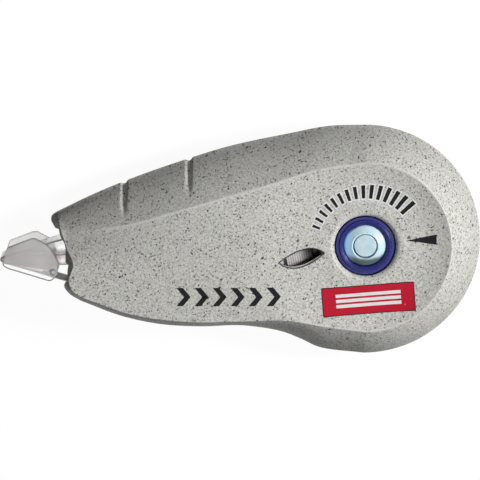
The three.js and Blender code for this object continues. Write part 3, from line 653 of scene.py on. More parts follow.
def turned(profile, sides=96, at=(0, 0)):
    """Points and faces of a profile of (radius, height) turned about an upright axis, closed unless it ends there"""
    if profile[0][0] or profile[-1][0]:
        profile = [*profile, profile[0]]
    return skin([[(x, y, height) for x, y in circle(radius, sides, at)] for radius, height in profile])


def lathe(profile, sides=96, at=(0, 0), corner=0.08):
    """A turned mesh with rounded corners"""
    return raw_mesh(*turned(rounded(profile, corner), sides, at))


def stepped(foot, steps, at=(0, 0), bore=0, sides=48, corner=0.08):
    """A turned post or ring on a foot, with steps of (radius, height), round a bore"""
    profile = [(bore, foot)]
    for radius, height in steps:
        profile += [(radius, profile[-1][1]), (radius, height)]
    return lathe([*profile, (bore, profile[-1][1])], sides, at, corner)


def flat_plate(loops, low, high, edge=0.0):
    """A plate between two heights from closed outlines, holes included, with rounded edges"""
    low, high = sorted((low, high))
    curve = bpy.data.curves.new("plate", "CURVE")
    curve.dimensions = "2D"
    curve.fill_mode = "BOTH"
    curve.extrude = (high - low) / 2 * MM - edge * MM
    curve.bevel_depth = edge * MM
    curve.bevel_resolution = 2
    curve.offset = -edge * MM
    for loop in loops:
        spline = curve.splines.new("POLY")
        spline.points.add(len(loop) - 1)
        for point, (x, y) in zip(spline.points, loop):
            point.co = (x * MM, y * MM, 0, 1)
        spline.use_cyclic_u = True
    shape = bpy.data.objects.new("plate", curve)
    mesh = bpy.data.meshes.new_from_object(shape)
    mesh.transform(Matrix.Translation((0, 0, ((low + high) / 2 + BACK_PLANE) * MM)))
    bpy.data.objects.remove(shape)
    bpy.data.curves.remove(curve)
    return mesh


def band(line, half, low, high):
    """A thin closed ribbon along a line"""
    return flat_plate([offset_line(line, half) + offset_line(line, -half)[::-1]], low, high)


def joined(name, meshes):
    """One mesh from several closed ones that stand apart or on each other"""
    work = bmesh.new()
    for mesh in meshes:
        work.from_mesh(mesh)
        bpy.data.meshes.remove(mesh)
    result = bpy.data.meshes.new(name)
    work.to_mesh(result)
    work.free()
    return result


def weld(mesh, distance=0.002, sharp=math.radians(32)):
    """Merges doubled points, turns the faces outward and shades all but sharp edges smooth"""
    work = bmesh.new()
    work.from_mesh(mesh)
    bmesh.ops.remove_doubles(work, verts=work.verts, dist=distance * MM)
    bmesh.ops.dissolve_degenerate(work, edges=work.edges, dist=distance * MM / 4)
    bmesh.ops.recalc_face_normals(work, faces=work.faces)
    work.to_mesh(mesh)
    work.free()
    mesh.shade_smooth()
    mesh.set_sharp_from_angle(angle=sharp)


def linked(name, data):
    """A new object in the scene"""
    thing = bpy.data.objects.new(name, data)
    bpy.context.scene.collection.objects.link(thing)
    return thing


def finish_piece(name, meshes, material, body, slot_name, *nodes):
    """Makes a piece of closed meshes, lets it ride on a body and stand for CAD nodes, if there are any"""
    piece = linked(name, joined(name, meshes))
    weld(piece.data)
    piece.data.materials.append(material)
    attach(piece, body)
    if nodes:
        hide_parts(*nodes)
    return piece


def loose_mesh(name, points, faces):
    """A mesh object that only cuts or is cut"""
    tool = linked(name, raw_mesh(points, faces))
    weld(tool.data)
    return tool


def carve(body, tools):
    """Cuts tools out of a loose object, one after another, and gives back its mesh"""
    for tool in tools:
        cut = body.modifiers.new(tool.name, "BOOLEAN")
        cut.operation = "DIFFERENCE"
        cut.solver = "EXACT"
        cut.object = tool
    mesh = bpy.data.meshes.new_from_object(body.evaluated_get(bpy.context.evaluated_depsgraph_get()))
    for tool in tools + [body]:
        spare = tool.data
        bpy.data.objects.remove(tool)
        bpy.data.meshes.remove(spare)
    return mesh


def note_edges(mesh, lines, reach):
    """Notes on each point of a mesh how near it lies to lines, from 0 at the reach to 1"""
    points = np.empty(len(mesh.vertices) * 3)
    mesh.vertices.foreach_get("co", points)
    points = points.reshape(-1, 3) / MM - (0, 0, BACK_PLANE)
    nearest = np.full(len(points), reach)
    for line in lines:
        line = np.array(line, dtype=float)
        for start, way in zip(line, line[1:] - line[:-1]):
            share = np.clip((points - start) @ way / max(1e-9, way @ way), 0, 1)
            nearest = np.minimum(nearest, np.linalg.norm(points - start - share[:, None] * way, axis=1))
    mesh.attributes.new("edge", "FLOAT", "POINT").data.foreach_set("value", 1 - nearest / reach)


# Case

def bevel_share(level):
    """How far the bevel has come inward and upward at a level from the parting edge to the crease"""
    start, end = BEVEL_ARC
    turn = start + (end - start) * level
    inward = (math.cos(start) - math.cos(turn)) / (math.cos(start) - math.cos(end))
    upward = (math.sin(turn) - math.sin(start)) / (math.sin(end) - math.sin(start))
    return inward, upward


def side_shares(lines, count=110):
    """Shares of the length of a side, closer together where the grooves cross it"""
    shares = []
    for i in range(count):
        places = [line((i + 0.5) / count)[0] for line in lines]
        near = any(min(places) - 1 < place < max(places) + 1 for place in GROOVES_AT)
        shares += [(i + k / 4) / count for k in range(4 if near else 1)]
    return shares


def case_stations(rear=150, front=64):
    """Matching points on the parting edge, on the crease of the face and on the ridge of the face"""
    ridge = curve_through([*FACE_RIDGE, (0, 0)])
    upper = curve_through([(0, REAR_RADIUS), *UPPER_EDGE]), curve_through([(0, FACE_RADIUS), *UPPER_CREASE])
    lower = curve_through([(0, -REAR_RADIUS), *LOWER_EDGE]), curve_through([(0, -FACE_RADIUS), *LOWER_CREASE])
    nose = curve_through(FRONT_EDGE), curve_through(FRONT_CREASE)
    shares = side_shares(upper)

    def station(lines, share, ridge_share):
        return lines[0](share), lines[1](share), ridge(ridge_share)

    stations = []
    for i in range(rear):
        toward = axes(math.pi * (i / rear - 0.5))[0]
        stations.append((toward * REAR_RADIUS, toward * FACE_RADIUS, ridge(1)))
    stations += [station(upper, share, 1 - share) for share in shares]
    stations += [station(nose, i / front, 0) for i in range(front)]
    return stations + [station(lower, share, 1 - share) for share in (1, *reversed(shares[1:]))]


def front_face(x, y):
    """Height of the front face over the parting plane, with its dish and its finger scoop"""
    radius = math.hypot(x * DISH_STRETCH if x < 0 else x, y)
    up_the_wall = clamped(1 - (FACE_RADIUS - radius) / DISH_WALL)
    dish = DISH_DEPTH * (1 - up_the_wall ** 2) * smooth(x, *DISH_FADE)
    along = clamped((SCOOP_FROM - x) / (SCOOP_FROM - SCOOP_TO)) ** SCOOP_ONSET
    middle, half = (SCOOP_FROM + SCOOP_TO) / 2, (SCOOP_FROM - SCOOP_TO) / 2
    top = SCOOP_TOP_Y + SCOOP_TOP_SLOPE * (x - SCOOP_TO)
    foot = SCOOP_FOOT_Y - SCOOP_FOOT_SAG * max(0, 1 - ((x - middle) / half) ** 2)
    across = clamped((y - foot) / (top - foot))
    scoop = SCOOP_EDGE_DROP * across ** 1.5 + SCOOP_DEPTH * math.sin(math.pi * across)
    return BACK_PLANE - dish - along * scoop


def back_face(x, y):
    return BACK_PLANE


def drawn_in(point, ridge, length):
    """Moves a point toward its ridge point by a length, never past it"""
    gap = np.linalg.norm(point - ridge)
    return point + (ridge - point) * min(1.0, length / gap)


def groove_depth(point, level):
    """How deep the grooves of the upper bevel are at a point; they run out before the crease"""
    case = settings("tape_case")
    away = min(abs(point[0] - place) for place in GROOVES_AT) / (case.groove_width / 2)
    if away > 1 or point[1] < 0:
        return 0.0
    return case.groove_depth * (0.5 + math.cos(math.pi * away) / 2) * (1 - smooth(level, 0.45, 0.85))


def half_rings(stations, face, inset, bevels, steps, side):
    """Rings of one half of the case from the parting edge to the ridge, drawn in by an inset"""
    levels = [(0, inset, 0)]
    if not inset:
        levels = [(0, SEAM_DEPTH, 0), (0, SEAM_DEPTH * 0.3, SEAM_HEIGHT * 0.4), (0, 0, SEAM_HEIGHT)]
    levels += [(level, inset, 0) for level in (*np.linspace(0, 0.94, bevels)[1:], 0.96, 0.975, 0.99, 1)]
    rings = []
    for level, depth, lowest in levels:
        inward, upward = bevel_share(level)
        ring = []
        for edge, crease, ridge in stations:
            high = (face(*drawn_in(crease, ridge, inset)) - inset) * upward
            point = edge + (crease - edge) * inward
            if not inset:
                out = (edge - crease) / np.linalg.norm(edge - crease)
                cut = groove_depth(point, level)
                point, high = point - out * cut * 0.8, high - cut * 0.6 * smooth(level, 0, 0.1)
            ring.append((*drawn_in(point, ridge, depth), max(high, lowest)))
        rings.append(ring)
    for step in steps:
        ring = []
        for _, crease, ridge in stations:
            start = drawn_in(crease, ridge, inset)
            point = start + (ridge - start) * step
            ring.append((*point, face(*point) - inset))
        rings.append(ring)
    return [[(x, y, z * side) for x, y, z in ring] for ring in rings]


def mouth_tools(side):
    """Tools for the opening at the front: tall beside the face, lower under the scoop"""
    tools = []
    left, right = MOUTH_X
    for low, high, half in ((-7.5, -3.4, MOUTH_TALL), (-3.8, 2.4, MOUTH_LOW if side > 0 else MOUTH_TALL)):
        rings = [[(left, low, z), (right, low, z), (right, high, z), (left, high, z)] for z in (-half, half)]
        tools.append(loose_mesh("mouth_tool", *skin(capped(rings, (MOUTH_MIDDLE, (low + high) / 2)))))
    return tools


def window_outline(ends=0.0, low=0.0, high=0.0, steps=28):
    """The eye-shaped window over the meeting gear teeth, drawn in at its ends, its lower and its upper side"""
    left, right = Vector(WINDOW_LEFT) + Vector((ends, 0)), Vector(WINDOW_RIGHT) - Vector((ends, 0))
    below, above = Vector(WINDOW_BOTTOM) + Vector((0, low)), Vector(WINDOW_TOP) - Vector((0, high))
    loop = []
    for start, middle, end in ((left, below, right), (right, above, left)):
        pull = middle * 2 - (left + right) / 2
        loop += [tuple(pulled(start, pull, end, k / steps)) for k in range(steps)]
    return loop


def window_tool():
    """A tool for the window, with a small chamfer that follows the dished face"""
    loop = window_outline()
    rings = [[(x, y, GEAR_TOP + 0.2) for x, y in loop]]
    for grow, rise in ((0, -0.4), (0.02, -0.3), (0.18, -0.04), (0.28, 0.04), (0.6, 0.5)):
        rings.append([(x, y, front_face(x, y) + rise) for x, y in offset_loop(loop, -grow)])
    return loose_mesh("window_tool", *skin(capped(rings, np.mean(loop, axis=0))))


def face_rim(outer, inner, high, low):
    """A rim between two outlines of equally many points, at two heights from the front face"""
    return raw_mesh(*skin([
        [(x, y, front_face(x, y) + rise) for x, y in line]
        for line, rise in ((outer, high), (inner, high), (inner, low), (outer, low), (outer, high))]))


def window_rims(plastic, dark):
    """Dark rims painted round the window and along the inner side of its ledge as shadow lines, and the narrow ledge
    along its lower side in a darker copy of the case plastic as painted shade
    """
    ledge = window_outline(0.1, 0.26, 0.03)
    edges = [face_rim(window_outline(-0.05, -0.1, -0.15), window_outline(), 0.02, -0.4),
             face_rim(ledge, window_outline(0.2, 0.36, 0.06), -0.26, -0.45)]
    finish_piece("window_shadow_edges", edges, dark, "casing", "case")
    ledge = face_rim(window_outline(-0.05, -0.05, -0.05), ledge, -0.2, -0.6)
    finish_piece("window_ledge", [ledge], plastic, "casing", "case")


def hub_hole_tool():
    """A tool for the hub hole with its chamfer"""
    chamfer = settings("tape_case").hub_chamfer
    rim = BACK_PLANE - DISH_DEPTH
    profile = [(0, GEAR_TOP), (HUB_HOLE, GEAR_TOP), (HUB_HOLE, rim - chamfer), (HUB_HOLE + 0.1, rim - chamfer * 0.75),
               (HUB_HOLE + chamfer * 0.85, rim - 0.08), (HUB_HOLE + chamfer + 0.25, rim + 0.04),
               (HUB_HOLE + chamfer + 1.6, rim + 1), (0, rim + 1)]
    return loose_mesh("hub_hole_tool", *turned(profile, 128))


def case_half(name, face, side, material, node):
    """One moulded half of the case with its hollow, grooves and openings, and a highlight painted along its crease
    and, on the front half, round the hub hole
    """
    stations = case_stations()
    outside = half_rings(stations, face, 0, 14, (*CREASE_STEPS, *np.linspace(0.3, 1, 15)), side)
    inside = half_rings(stations, face, settings("tape_case").wall, 5, (0.1, 0.2, 0.5, 1), side)
    shell = loose_mesh(name, *skin(inside[::-1] + outside))
    tools = mouth_tools(side)
    # Lines of the painted highlight: the crease, and on the front half the rim of the hub hole
    highlight_lines = [[(*point, face(*point) * side) for _, point, _ in stations
             if point[0] > (UPPER_HIGHLIGHT_TO if point[1] > 0 else LOWER_HIGHLIGHT_TO)]]
    if side > 0:
        tools += [hub_hole_tool(), window_tool()]
        highlight_lines.append([(x, y, front_face(x, y)) for x, y in circle(HUB_HOLE_HIGHLIGHT, 97)])
    half = finish_piece(name, [carve(shell, tools)], material, "casing", "case", node)
    note_edges(half.data, highlight_lines, HIGHLIGHT_WIDTH)


# Tape

def tape_line(bend_step=0.06):
    """The middle line of the tape: roll, lower guide, tip edge, upper guide, take-up roll"""
    def touching(radius):
        return -(radius + TAPE_GAP + TAPE_HALF)

    edge = (TIP_EDGE[0] + TIP_RADIUS + TAPE_GAP + 2 * TAPE_HALF, TIP_EDGE[1])
    stops = [((0, 0), -(ROLL_RADIUS + GAP + TAPE_HALF)), (LOWER_GUIDE, touching(GUIDE_RADIUS)),
             (edge, touching(TIP_RADIUS)), (UPPER_GUIDE, touching(GUIDE_RADIUS)),
             (TAKE_UP_AT, SPENT_RADIUS + GAP + TAPE_HALF)]
    headings = []
    for (start, start_radius), (end, end_radius) in zip(stops, stops[1:]):
        dx, dy = end[0] - start[0], end[1] - start[1]
        headings.append(math.atan2(dy, dx) - math.asin((end_radius - start_radius) / math.hypot(dx, dy)))
    line = []
    for i, (centre, radius) in enumerate(stops):
        enter, leave = headings[max(0, i - 1)], headings[min(i, len(headings) - 1)]
        turn = math.atan2(math.sin(leave - enter), math.cos(leave - enter))
        steps = math.ceil(abs(turn) / bend_step)
        for k in range(steps + 1):
            heading = enter + (turn * k / steps if steps else 0)
            line.append((centre[0] + radius * math.sin(heading), centre[1] - radius * math.cos(heading)))
    return line


def wound(inner, outer, at=(0, 0), layers=24):
    """A roll whose ends show fine steps of the wound layers"""
    radii = [inner + (outer - inner) * k / layers for k in range(layers + 1)]
    top = [(radius, TAPE_HALF_WIDTH - LAYER_STEP * (k % 2)) for k, radius in enumerate(radii)]
    low = [(radius, -height) for radius, height in top]
    return raw_mesh(*turned(low + top[::-1], 128, at))


# Gears

def gear_outline(teeth, turn, centre=(0, 0)):
    """Outline of a spur gear with involute flanks and rounded heads, one tooth centred on the turn"""
    pitch = GEAR_MODULE * teeth / 2
    base = pitch * math.cos(math.radians(20))

    def involute(radius):
        ratio = max(1.0, radius / base)
        return math.sqrt(ratio ** 2 - 1) - math.acos(1 / ratio)

    def half_angle(radius):
        return math.pi / 2 / teeth - BACKLASH / 2 / pitch + involute(pitch) - involute(radius)

    foot, head = pitch - 1.2 * GEAR_MODULE, pitch + 0.95 * GEAR_MODULE
    root = (foot - 0.05, half_angle(foot) + (math.pi / teeth - half_angle(foot)) * 0.45)
    flank = [(radius, half_angle(radius)) for radius in np.linspace(foot, head - 0.06, 6)]
    half_tooth = [root, *flank, (head - 0.015, half_angle(head) * 0.72), (head, half_angle(head) * 0.3)]
    outline = []
    for tooth in range(teeth):
        middle = turn + 2 * math.pi * tooth / teeth
        outline += [polar(radius, middle - angle, centre) for radius, angle in half_tooth]
        outline += [polar(radius, middle + angle, centre) for radius, angle in reversed(half_tooth)]
    return outline


# Prints

def mark(outline, lift=0.03):
    """A thin print inside a convex outline, cut in small cells that follow the front face"""
    work = bmesh.new()
    work.faces.new([work.verts.new((x, y, 0)) for x, y in outline])
    for axis in (0, 1):
        across = Vector((1 - axis, axis, 0))
        places = [point[axis] for point in outline]
        for place in np.arange(min(places) + PRINT_CELL / 2, max(places), PRINT_CELL):
            everything = [*work.verts, *work.edges, *work.faces]
            bmesh.ops.bisect_plane(work, geom=everything, plane_co=across * place, plane_no=across)
    work.verts.index_update()
    count = len(work.verts)
    top = [(v.co.x, v.co.y, front_face(v.co.x, v.co.y) + lift) for v in work.verts]
    low = [(x, y, z - lift - 0.05) for x, y, z in top]
    faces = [tuple(v.index for v in face.verts) for face in work.faces]
    faces += [tuple(i + count for i in reversed(face)) for face in faces]
    for edge in work.edges:
        if edge.is_boundary:
            a, b = (v.index for v in edge.verts)
            faces.append((a, b, b + count, a + count))
    work.free()
    return raw_mesh(top + low, faces)


def label_box(half_length, half, middle=0.0):
    """An outline on the label, which is turned a little"""
    along, up = axes(LABEL_TURN)
    return [LABEL_AT + along * (side * half_length) + up * (middle + rise * half)
            for side, rise in ((-1, -1), (1, -1), (1, 1), (-1, 1))]


# Operators

class CaseOperator(bpy.types.Operator):
    """Builds both moulded halves of the case, the window's rims and the posts inside"""
    bl_idname = "tape.case"
    bl_label = "Case"

    def execute(self, context):
        case = settings("tape_case")
        plastic = recycled_plastic()
        case_half("case_shell_front", front_face, 1, plastic, "case_front")
        # Painted shade: the ledge in a darker copy of the case plastic, the rims in the shade colour
        window_rims(moulded_plastic("ledge_plastic", toned(case.colour, 0.5)),
                    moulded_plastic("edge_plastic", settings("tape_hub").shade, 0.6, 0.1))
        case_half("case_shell_back", back_face, -1, plastic, "case_back")
        floor = -BACK_PLANE + case.wall - 0.2
        posts = [
            stepped(floor, HUB_POST, bore=POST_BORE, sides=96),
            stepped(floor, REEL_POST, TAKE_UP_AT),
            stepped(floor, GUIDE_POST, UPPER_GUIDE, corner=0.2),
            stepped(floor, GUIDE_POST, LOWER_GUIDE, corner=0.2),
            stepped(floor, TIP_POST, PIVOT, corner=0.1),
        ]
        finish_piece("case_posts", posts, plastic, "casing", "case")
        return {"FINISHED"}


class HubOperator(bpy.types.Operator):
    """Builds the dark ring of the spool, the pale crown and its pin"""
    bl_idname = "tape.hub"
    bl_label = "Hub"

    def execute(self, context):
        hub = settings("tape_hub")
        navy = moulded_plastic("navy_plastic", hub.navy, 0.3, 0.25)
        frosted = moulded_plastic("pin_plastic", hub.ice, 0.6, 0.15)
        spool = lathe(SPOOL_PROFILE, 160, corner=0.06)
        finish_piece("spool_ring", [spool], navy, "supply", "navy_plastic", "supply_spool")
        crown = lathe(CROWN_PROFILE, 128, corner=0.09)
        finish_piece("hub_crown", [crown], crown_plastic(), "casing", "ice_plastic", "hub_cap")
        pin = lathe(PIN_PROFILE, 96, PIN_AT, 0.06)
        finish_piece("hub_stud", [pin], frosted, "casing", "ice_plastic", "hub_pin")
        return {"FINISHED"}


class GearOperator(bpy.types.Operator):
    """Builds the drive gear, its slip ring and the take-up reel"""
    bl_idname = "tape.gears"
    bl_label = "Gears"

    def execute(self, context):
        hub = settings("tape_hub")
        bore = circle(TEETH_BORE)[::-1]
        teeth = flat_plate([gear_outline(DRIVE_TEETH, TAKE_UP_ANGLE), bore], GEAR_LOW, TEETH_TOP, 0.05)
        cover = lathe([*COVER_PROFILE, *COVER_RIDGES], 200, corner=0.03)
        plastic = gear_plastic(hub.gear, hub.shade)
        finish_piece("drive_wheel", [teeth, cover], plastic, "drive", "gear_plastic", "drive_gear")
        slots = [arc_slot(SLOT_INNER, SLOT_OUTER, 2 * math.pi * i / 3 + TAKE_UP_ANGLE, SLOT_SPAN)[::-1]
                 for i in range(3)]
        web = flat_plate([circle(WEB_RADIUS), circle(WEB_BORE)[::-1], *slots], GEAR_LOW, WEB_TOP, 0.05)
        rim = lathe(RIM_PROFILE, 200, corner=0.03)
        collar = stepped(GEAR_LOW, [(COLLAR_RADIUS, GEAR_TOP)], bore=COLLAR_BORE, sides=128)
        seat = stepped(GEAR_LOW, [(SEAT_RADIUS, GEAR_LOW + 0.6)], bore=SEAT_BORE, sides=128, corner=0.05)
        # Painted shade: web, rim, collar and seat take a dark colour
        dark = moulded_plastic("web_plastic", hub.web, 0.5, 0.15)
        finish_piece("drive_web", [web, rim, collar, seat], dark, "drive", "gear_plastic")

        turn = TAKE_UP_ANGLE + math.pi + math.pi / TAKE_UP_TEETH
        bore = circle(REEL_BORE, 64, TAKE_UP_AT)[::-1]
        pinion = flat_plate([gear_outline(TAKE_UP_TEETH, turn, TAKE_UP_AT), bore], GEAR_LOW, TEETH_TOP, 0.05)
        reel = lathe(REEL_PROFILE, 160, TAKE_UP_AT, 0.04)
        pale = moulded_plastic("reel_plastic", hub.reel, 0.3, 0.3)
        finish_piece("take_up_wheel", [pinion, reel], pale, "take_up", "gear_plastic", "take_up_reel")

        rubber = moulded_plastic("rubber", (0.02, 0.02, 0.023), 0.7)
        ring = raw_mesh(*turned(circle(RUBBER_HALF, 24, RUBBER_AT)))
        finish_piece("slip_ring", [ring], rubber, "drive", "rubber", "friction_ring")
        return {"FINISHED"}


class TapeOperator(bpy.types.Operator):
    """Builds the wound rolls, the film washer and the runs of tape"""
    bl_idname = "tape.tape"
    bl_label = "Tape"

    def execute(self, context):
        tip = settings("tape_tip")
        white = tape_paint("coated_tape", tip.tape, 0.45, 0.3)
        film = tape_paint("carrier_film", tip.film, 0.15, 0.95)
        # The rim colour again: painted shade for the film's edges
        dark = tape_paint("film_edge", tip.rim, 0.3, 0.5)
        roll, spent = wound(ROLL_CORE, ROLL_RADIUS), wound(SPENT_CORE, SPENT_RADIUS, TAKE_UP_AT)
        finish_piece("tape_winding", [roll], white, "supply", "tape", "tape_roll")
        finish_piece("film_winding", [spent], film, "take_up", "film", "spent_roll")
        washer = stepped(WASHER_LOW, [(ROLL_RADIUS, WASHER_TOP)], bore=ROLL_CORE, sides=128, corner=0.05)
        finish_piece("film_disc", [washer], film, "supply", "film", "film_washer")

        def behind_tip(point):
            return point[0] > LOOP_END + GAP

        whole = tape_line()
        ends = [i for i, point in enumerate(whole) if point[0] < LOOP_END + GAP]
        loop = part_of(whole, lambda point: point[0] < LOOP_END)
        edge = loop.index(min(loop))
        for name, line, body, node, paint, slot_name in (
            ("tape_fresh", part_of(whole[:ends[0] + 1], behind_tip), "casing", "fresh_tape", white, "tape"),
            ("tape_spent", part_of(whole[ends[-1]:], behind_tip), "casing", "spent_tape", film, "film"),
            ("tape_at_tip", loop[:edge + 1], "tip", "tape_loop", white, "tape"),
            ("film_at_tip", loop[edge:], "tip", "tape_loop", film, "film"),
        ):
            run = band(line, TAPE_HALF, -TAPE_HALF_WIDTH, TAPE_HALF_WIDTH)
            finish_piece(name, [run], paint, body, slot_name, node)
        # Painted shade: dark lines along both edges of the film at the tip
        edges = [band(loop[edge:], TAPE_HALF + 0.01, *(side * z for z in FILM_EDGE)) for side in (1, -1)]
        finish_piece("film_edges", edges, dark, "tip", "film")
        return {"FINISHED"}


class TipOperator(bpy.types.Operator):
    """Builds the clear applicator tip with its side plates, blade, eye and spring tail"""
    bl_idname = "tape.tip"
    bl_label = "Applicator tip"

    def execute(self, context):
        tip = settings("tape_tip")
        clear = clear_plastic("clear_plastic", tip.clear)
        x, y = PIVOT
        top, low = y + ARM_HALF, y - ARM_HALF
        blade = offset_line(part_of(tape_line(), lambda point: point[0] < BLADE_BACK), -(TAPE_HALF + TAPE_GAP))
        blade += [(ARM_FRONT, top), (x, top), (x, low), (ARM_FRONT, low)]
        near, far = TAIL_X
        tail = [(near, y - TAIL_HALF), (far, y - TAIL_HALF), (far, y + TAIL_HALF), (near, y + TAIL_HALF)]
        parts = [
            flat_plate([blade], -BLADE_HALF_WIDTH, BLADE_HALF_WIDTH, 0.05),
            flat_plate([WEB_OUTLINE], -WEB_HALF_WIDTH, WEB_HALF_WIDTH, 0.02),
            stepped(-BLADE_HALF_WIDTH, [(EYE_RADIUS, BLADE_HALF_WIDTH)], PIVOT, EYE_BORE, 64),
            flat_plate([tail], -TAIL_HALF_WIDTH, TAIL_HALF_WIDTH, 0.08),
        ]
        tinted = clear_plastic("tinted_plastic", tip.arm)
        finish_piece("tip_blade", parts, tinted, "tip", "clear_plastic", "applicator_tip")
        foot = [(x, y + GUSSET_FOOT) for x in (GUSSET_TOP[-1][0], GUSSET_TOP[0][0])]
        gusset = flat_plate([[*foot, *GUSSET_TOP]], -0.6, 0.6, 0.05)
        finish_piece("tip_gusset", [gusset], clear, "tip", "clear_plastic")
        # Painted shade along the edges of the clear pieces
        self.plates(clear, clear_plastic("edge_shade_plastic", tip.rim, 0.5))
        panel = flat_plate([PANEL_OUTLINE], PLATE_LOW - 0.14, PLATE_LOW - 0.04, 0.03)
        smoke = clear_plastic("frosted_plastic", tip.smoke)
        finish_piece("frosted_panel", [panel], smoke, "tip", "clear_plastic")
        return {"FINISHED"}

    @staticmethod
    def plates(clear, dark):
        """Both side plates, and dark rims of the plates, the arm and the gusset, painted as shade along their edges
        """
        outline = rounded(PLATE_OUTLINE, 0.3, 5)
        hole = offset_loop(outline, -RIM_WIDTH)[::-1]
        rims = [band([(x, y) for x in ARM_RIM_X], RIM_WIDTH / 2, 2.3, 2.51)
                for y in (PIVOT[1] + ARM_RIM_Y, PIVOT[1] - ARM_RIM_Y)]
        rims.append(band(GUSSET_TOP, RIM_WIDTH / 2, 0.4, 0.62))
        for name, side in (("near_plate", 1), ("far_plate", -1)):
            low, high = PLATE_LOW * side, PLATE_HIGH * side
            boss_top = (PLATE_HIGH + BOSS_RISE) * side
            rings = [[(x, y, z) for x, y in offset_loop(outline, -inset)] for inset, z in (
                (0.2, low), (PLATE_ROUNDING, low), (0, low + PLATE_ROUNDING * side),
                (0, high - PLATE_ROUNDING * side), (PLATE_ROUNDING, high), (0.2, high))]
            sheet = raw_mesh(*skin(capped(rings, np.mean(outline, axis=0))))
            boss = stepped(low, [(BOSS_RADIUS, boss_top)], BOSS_AT, sides=40)
            finish_piece(name, [sheet, boss], clear, "tip", "clear_plastic")
            rims.append(flat_plate([outline, hole], high - 0.3 * side, high + 0.01 * side))
            ring = [circle(BOSS_RADIUS + 0.05, 32, BOSS_AT), circle(BOSS_RADIUS - 0.08, 32, BOSS_AT)[::-1]]
            rims.append(flat_plate(ring, high, boss_top + 0.01 * side))
        finish_piece("tip_shade_rims", rims, dark, "tip", "clear_plastic")


class PrintOperator(bpy.types.Operator):
    """Prints plain marks on the face: a supply gauge, a row of chevrons, a striped label and a wedge"""
    bl_idname = "tape.prints"
    bl_label = "Prints"

    def execute(self, context):
        inks = settings("tape_prints")
        black, red, white = ink("black_ink", inks.black), ink("red_ink", inks.red), ink("white_ink", inks.white)
        ticks, borders = [], []
        for i in range(TICKS):
            growth = i / (TICKS - 1)
            out, across = axes(FIRST_TICK - i * TICK_STEP)
            for marks, more, lift in ((borders, TICK_BORDER, 0.03), (ticks, 0, 0.05)):
                low, high = out * (TICK_INNER - more), out * (TICK_OUTER + TICK_GROWTH * growth + more)
                wide = across * (TICK_HALF + TICK_HALF_GROWTH * growth + more)
                marks.append(mark([low + wide * 0.85, low - wide * 0.85, high - wide, high + wide], lift))
        chevrons = []
        for x in CHEVRON_X:
            for end in (CHEVRON_Y + CHEVRON_HALF, CHEVRON_Y - CHEVRON_HALF):
                chevrons.append(mark([(x, end), (x + 1.1, end), (x + 2.4, CHEVRON_Y), (x + 1.3, CHEVRON_Y)]))
        for name, marks, paint in (
            ("gauge_edge_print", borders, white),
            ("gauge_print", ticks, black),
            ("chevron_print", chevrons, black),
            ("label_edge_print", [mark(rounded(label_box(8, 2.5), LABEL_CORNER, 5))], black),
            ("label_print", [mark(rounded(label_box(7.85, 2.35), LABEL_CORNER, 5), 0.05)], red),
            ("stripe_print", [mark(label_box(5.6, STRIPE_HALF, y), 0.075) for y in (-0.9, 0, 0.9)], white),
            ("wedge_print", [mark(WEDGE_OUTLINE)], black),
        ):
            finish_piece(name, marks, paint, "casing", "case")
        return {"FINISHED"}


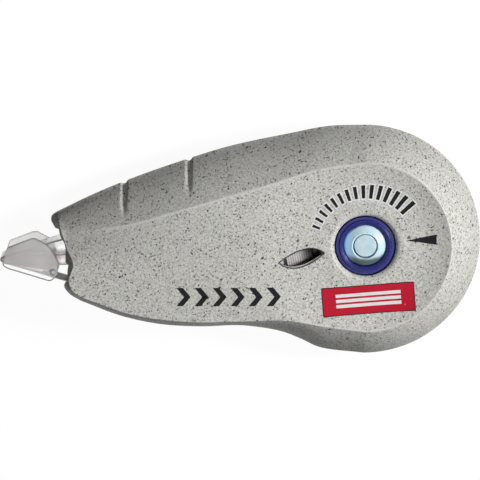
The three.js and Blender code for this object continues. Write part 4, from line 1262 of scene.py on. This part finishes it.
class StageOperator(bpy.types.Operator):
    """Sets up the pale floor, the light and the camera"""
    bl_idname = "tape.stage"
    bl_label = "Stage"

    def execute(self, context):
        stage = settings("tape_stage")
        self.floor()
        self.world(stage.sky)
        self.lamp("key_lamp", KEY_LAMP_AT, KEY_LAMP_SIZE, stage.key_power)
        self.lamp("top_lamp", TOP_LAMP_AT, TOP_LAMP_SIZE, stage.top_power)
        self.camera(stage)
        context.scene.view_settings.view_transform = "Standard"
        return {"FINISHED"}

    @staticmethod
    def seen_directly(paint):
        """1 where the camera, a reflection or a clear piece looks at the surface, 0 where it lights others"""
        path = paint.node("ShaderNodeLightPath", {}, {})
        return path[0].highest(path[3]).highest(path[6])

    def floor(self):
        paint = new_paint("floor", Base_Color=(0.08, 0.08, 0.08, 1), Roughness=0.9, Specular_IOR_Level=0.0,
                          Emission_Strength=1.0)
        paint.feed("Emission Color", paint.mix(self.seen_directly(paint), (0, 0, 0), (0.95, 0.95, 0.95)))
        mesh = bpy.data.meshes.new("floor")
        corners = [(x * FLOOR_HALF, y * FLOOR_HALF, FLOOR_HEIGHT) for x, y in ((-1, -1), (1, -1), (1, 1), (-1, 1))]
        mesh.from_pydata(corners, [], [(0, 1, 2, 3)])
        mesh.materials.append(paint.owner)
        linked("floor", mesh)

    def world(self, strength):
        world = bpy.data.worlds.new("studio")
        bpy.context.scene.world = world
        paint = Paint(world)
        paint.tree.nodes.clear()
        even, white = (paint.node("ShaderNodeBackground", {}, {0: (1, 1, 1, 1), 1: light})[0]
                       for light in (strength, 1.0))
        mixed = paint.node("ShaderNodeMixShader", {}, {0: self.seen_directly(paint), 1: even, 2: white})[0]
        paint.node("ShaderNodeOutputWorld", {}, {0: mixed})

    @staticmethod
    def lamp(name, place, size, power):
        data = bpy.data.lights.new(name, "AREA")
        data.shape, data.size, data.energy = "DISK", size, power
        lamp = linked(name, data)
        lamp.location = place
        lamp.rotation_euler = (LAMP_AIM - Vector(place)).to_track_quat("-Z", "Y").to_euler()

    @staticmethod
    def camera(stage):
        data = bpy.data.cameras.new("camera")
        data.sensor_width = SENSOR_WIDTH
        data.lens = SENSOR_WIDTH * stage.distance / stage.span
        camera = linked("camera", data)
        aim = Vector((stage.middle_x, AIM_Y, BACK_PLANE * MM))
        camera.location = aim + Vector((0, math.sin(stage.tilt), math.cos(stage.tilt))) * stage.distance
        camera.rotation_euler = (-stage.tilt, 0, 0)
        bpy.context.scene.camera = camera


class TapePanel(bpy.types.Panel):
    """Lists the pieces of the dispenser and their settings"""
    bl_idname = "VIEW3D_PT_tape"
    bl_label = "Correction tape"
    bl_space_type = "VIEW_3D"
    bl_region_type = "UI"
    bl_category = "Tape"

    def draw(self, context):
        for operator in OPERATORS:
            self.layout.operator(operator.bl_idname)
        for name, group in SETTINGS.items():
            box = self.layout.box()
            box.label(text=group.__name__)
            for prop in group.__annotations__:
                box.prop(getattr(context.scene, name), prop)


OPERATORS = (CaseOperator, HubOperator, GearOperator, TapeOperator, TipOperator, PrintOperator, StageOperator)
CLASSES = (*SETTINGS.values(), *OPERATORS, TapePanel)


def register():
    for cls in CLASSES:
        bpy.utils.register_class(cls)
    for name, group in SETTINGS.items():
        setattr(bpy.types.Scene, name, bpy.props.PointerProperty(type=group))


def unregister():
    for name in SETTINGS:
        delattr(bpy.types.Scene, name)
    for cls in reversed(CLASSES):
        bpy.utils.unregister_class(cls)


def main():
    register()
    bpy.ops.tape.stage()
    bpy.ops.tape.case()
    bpy.ops.tape.hub()
    bpy.ops.tape.gears()
    bpy.ops.tape.tape()
    bpy.ops.tape.tip()
    bpy.ops.tape.prints()


if __name__ == "__main__":
    main()
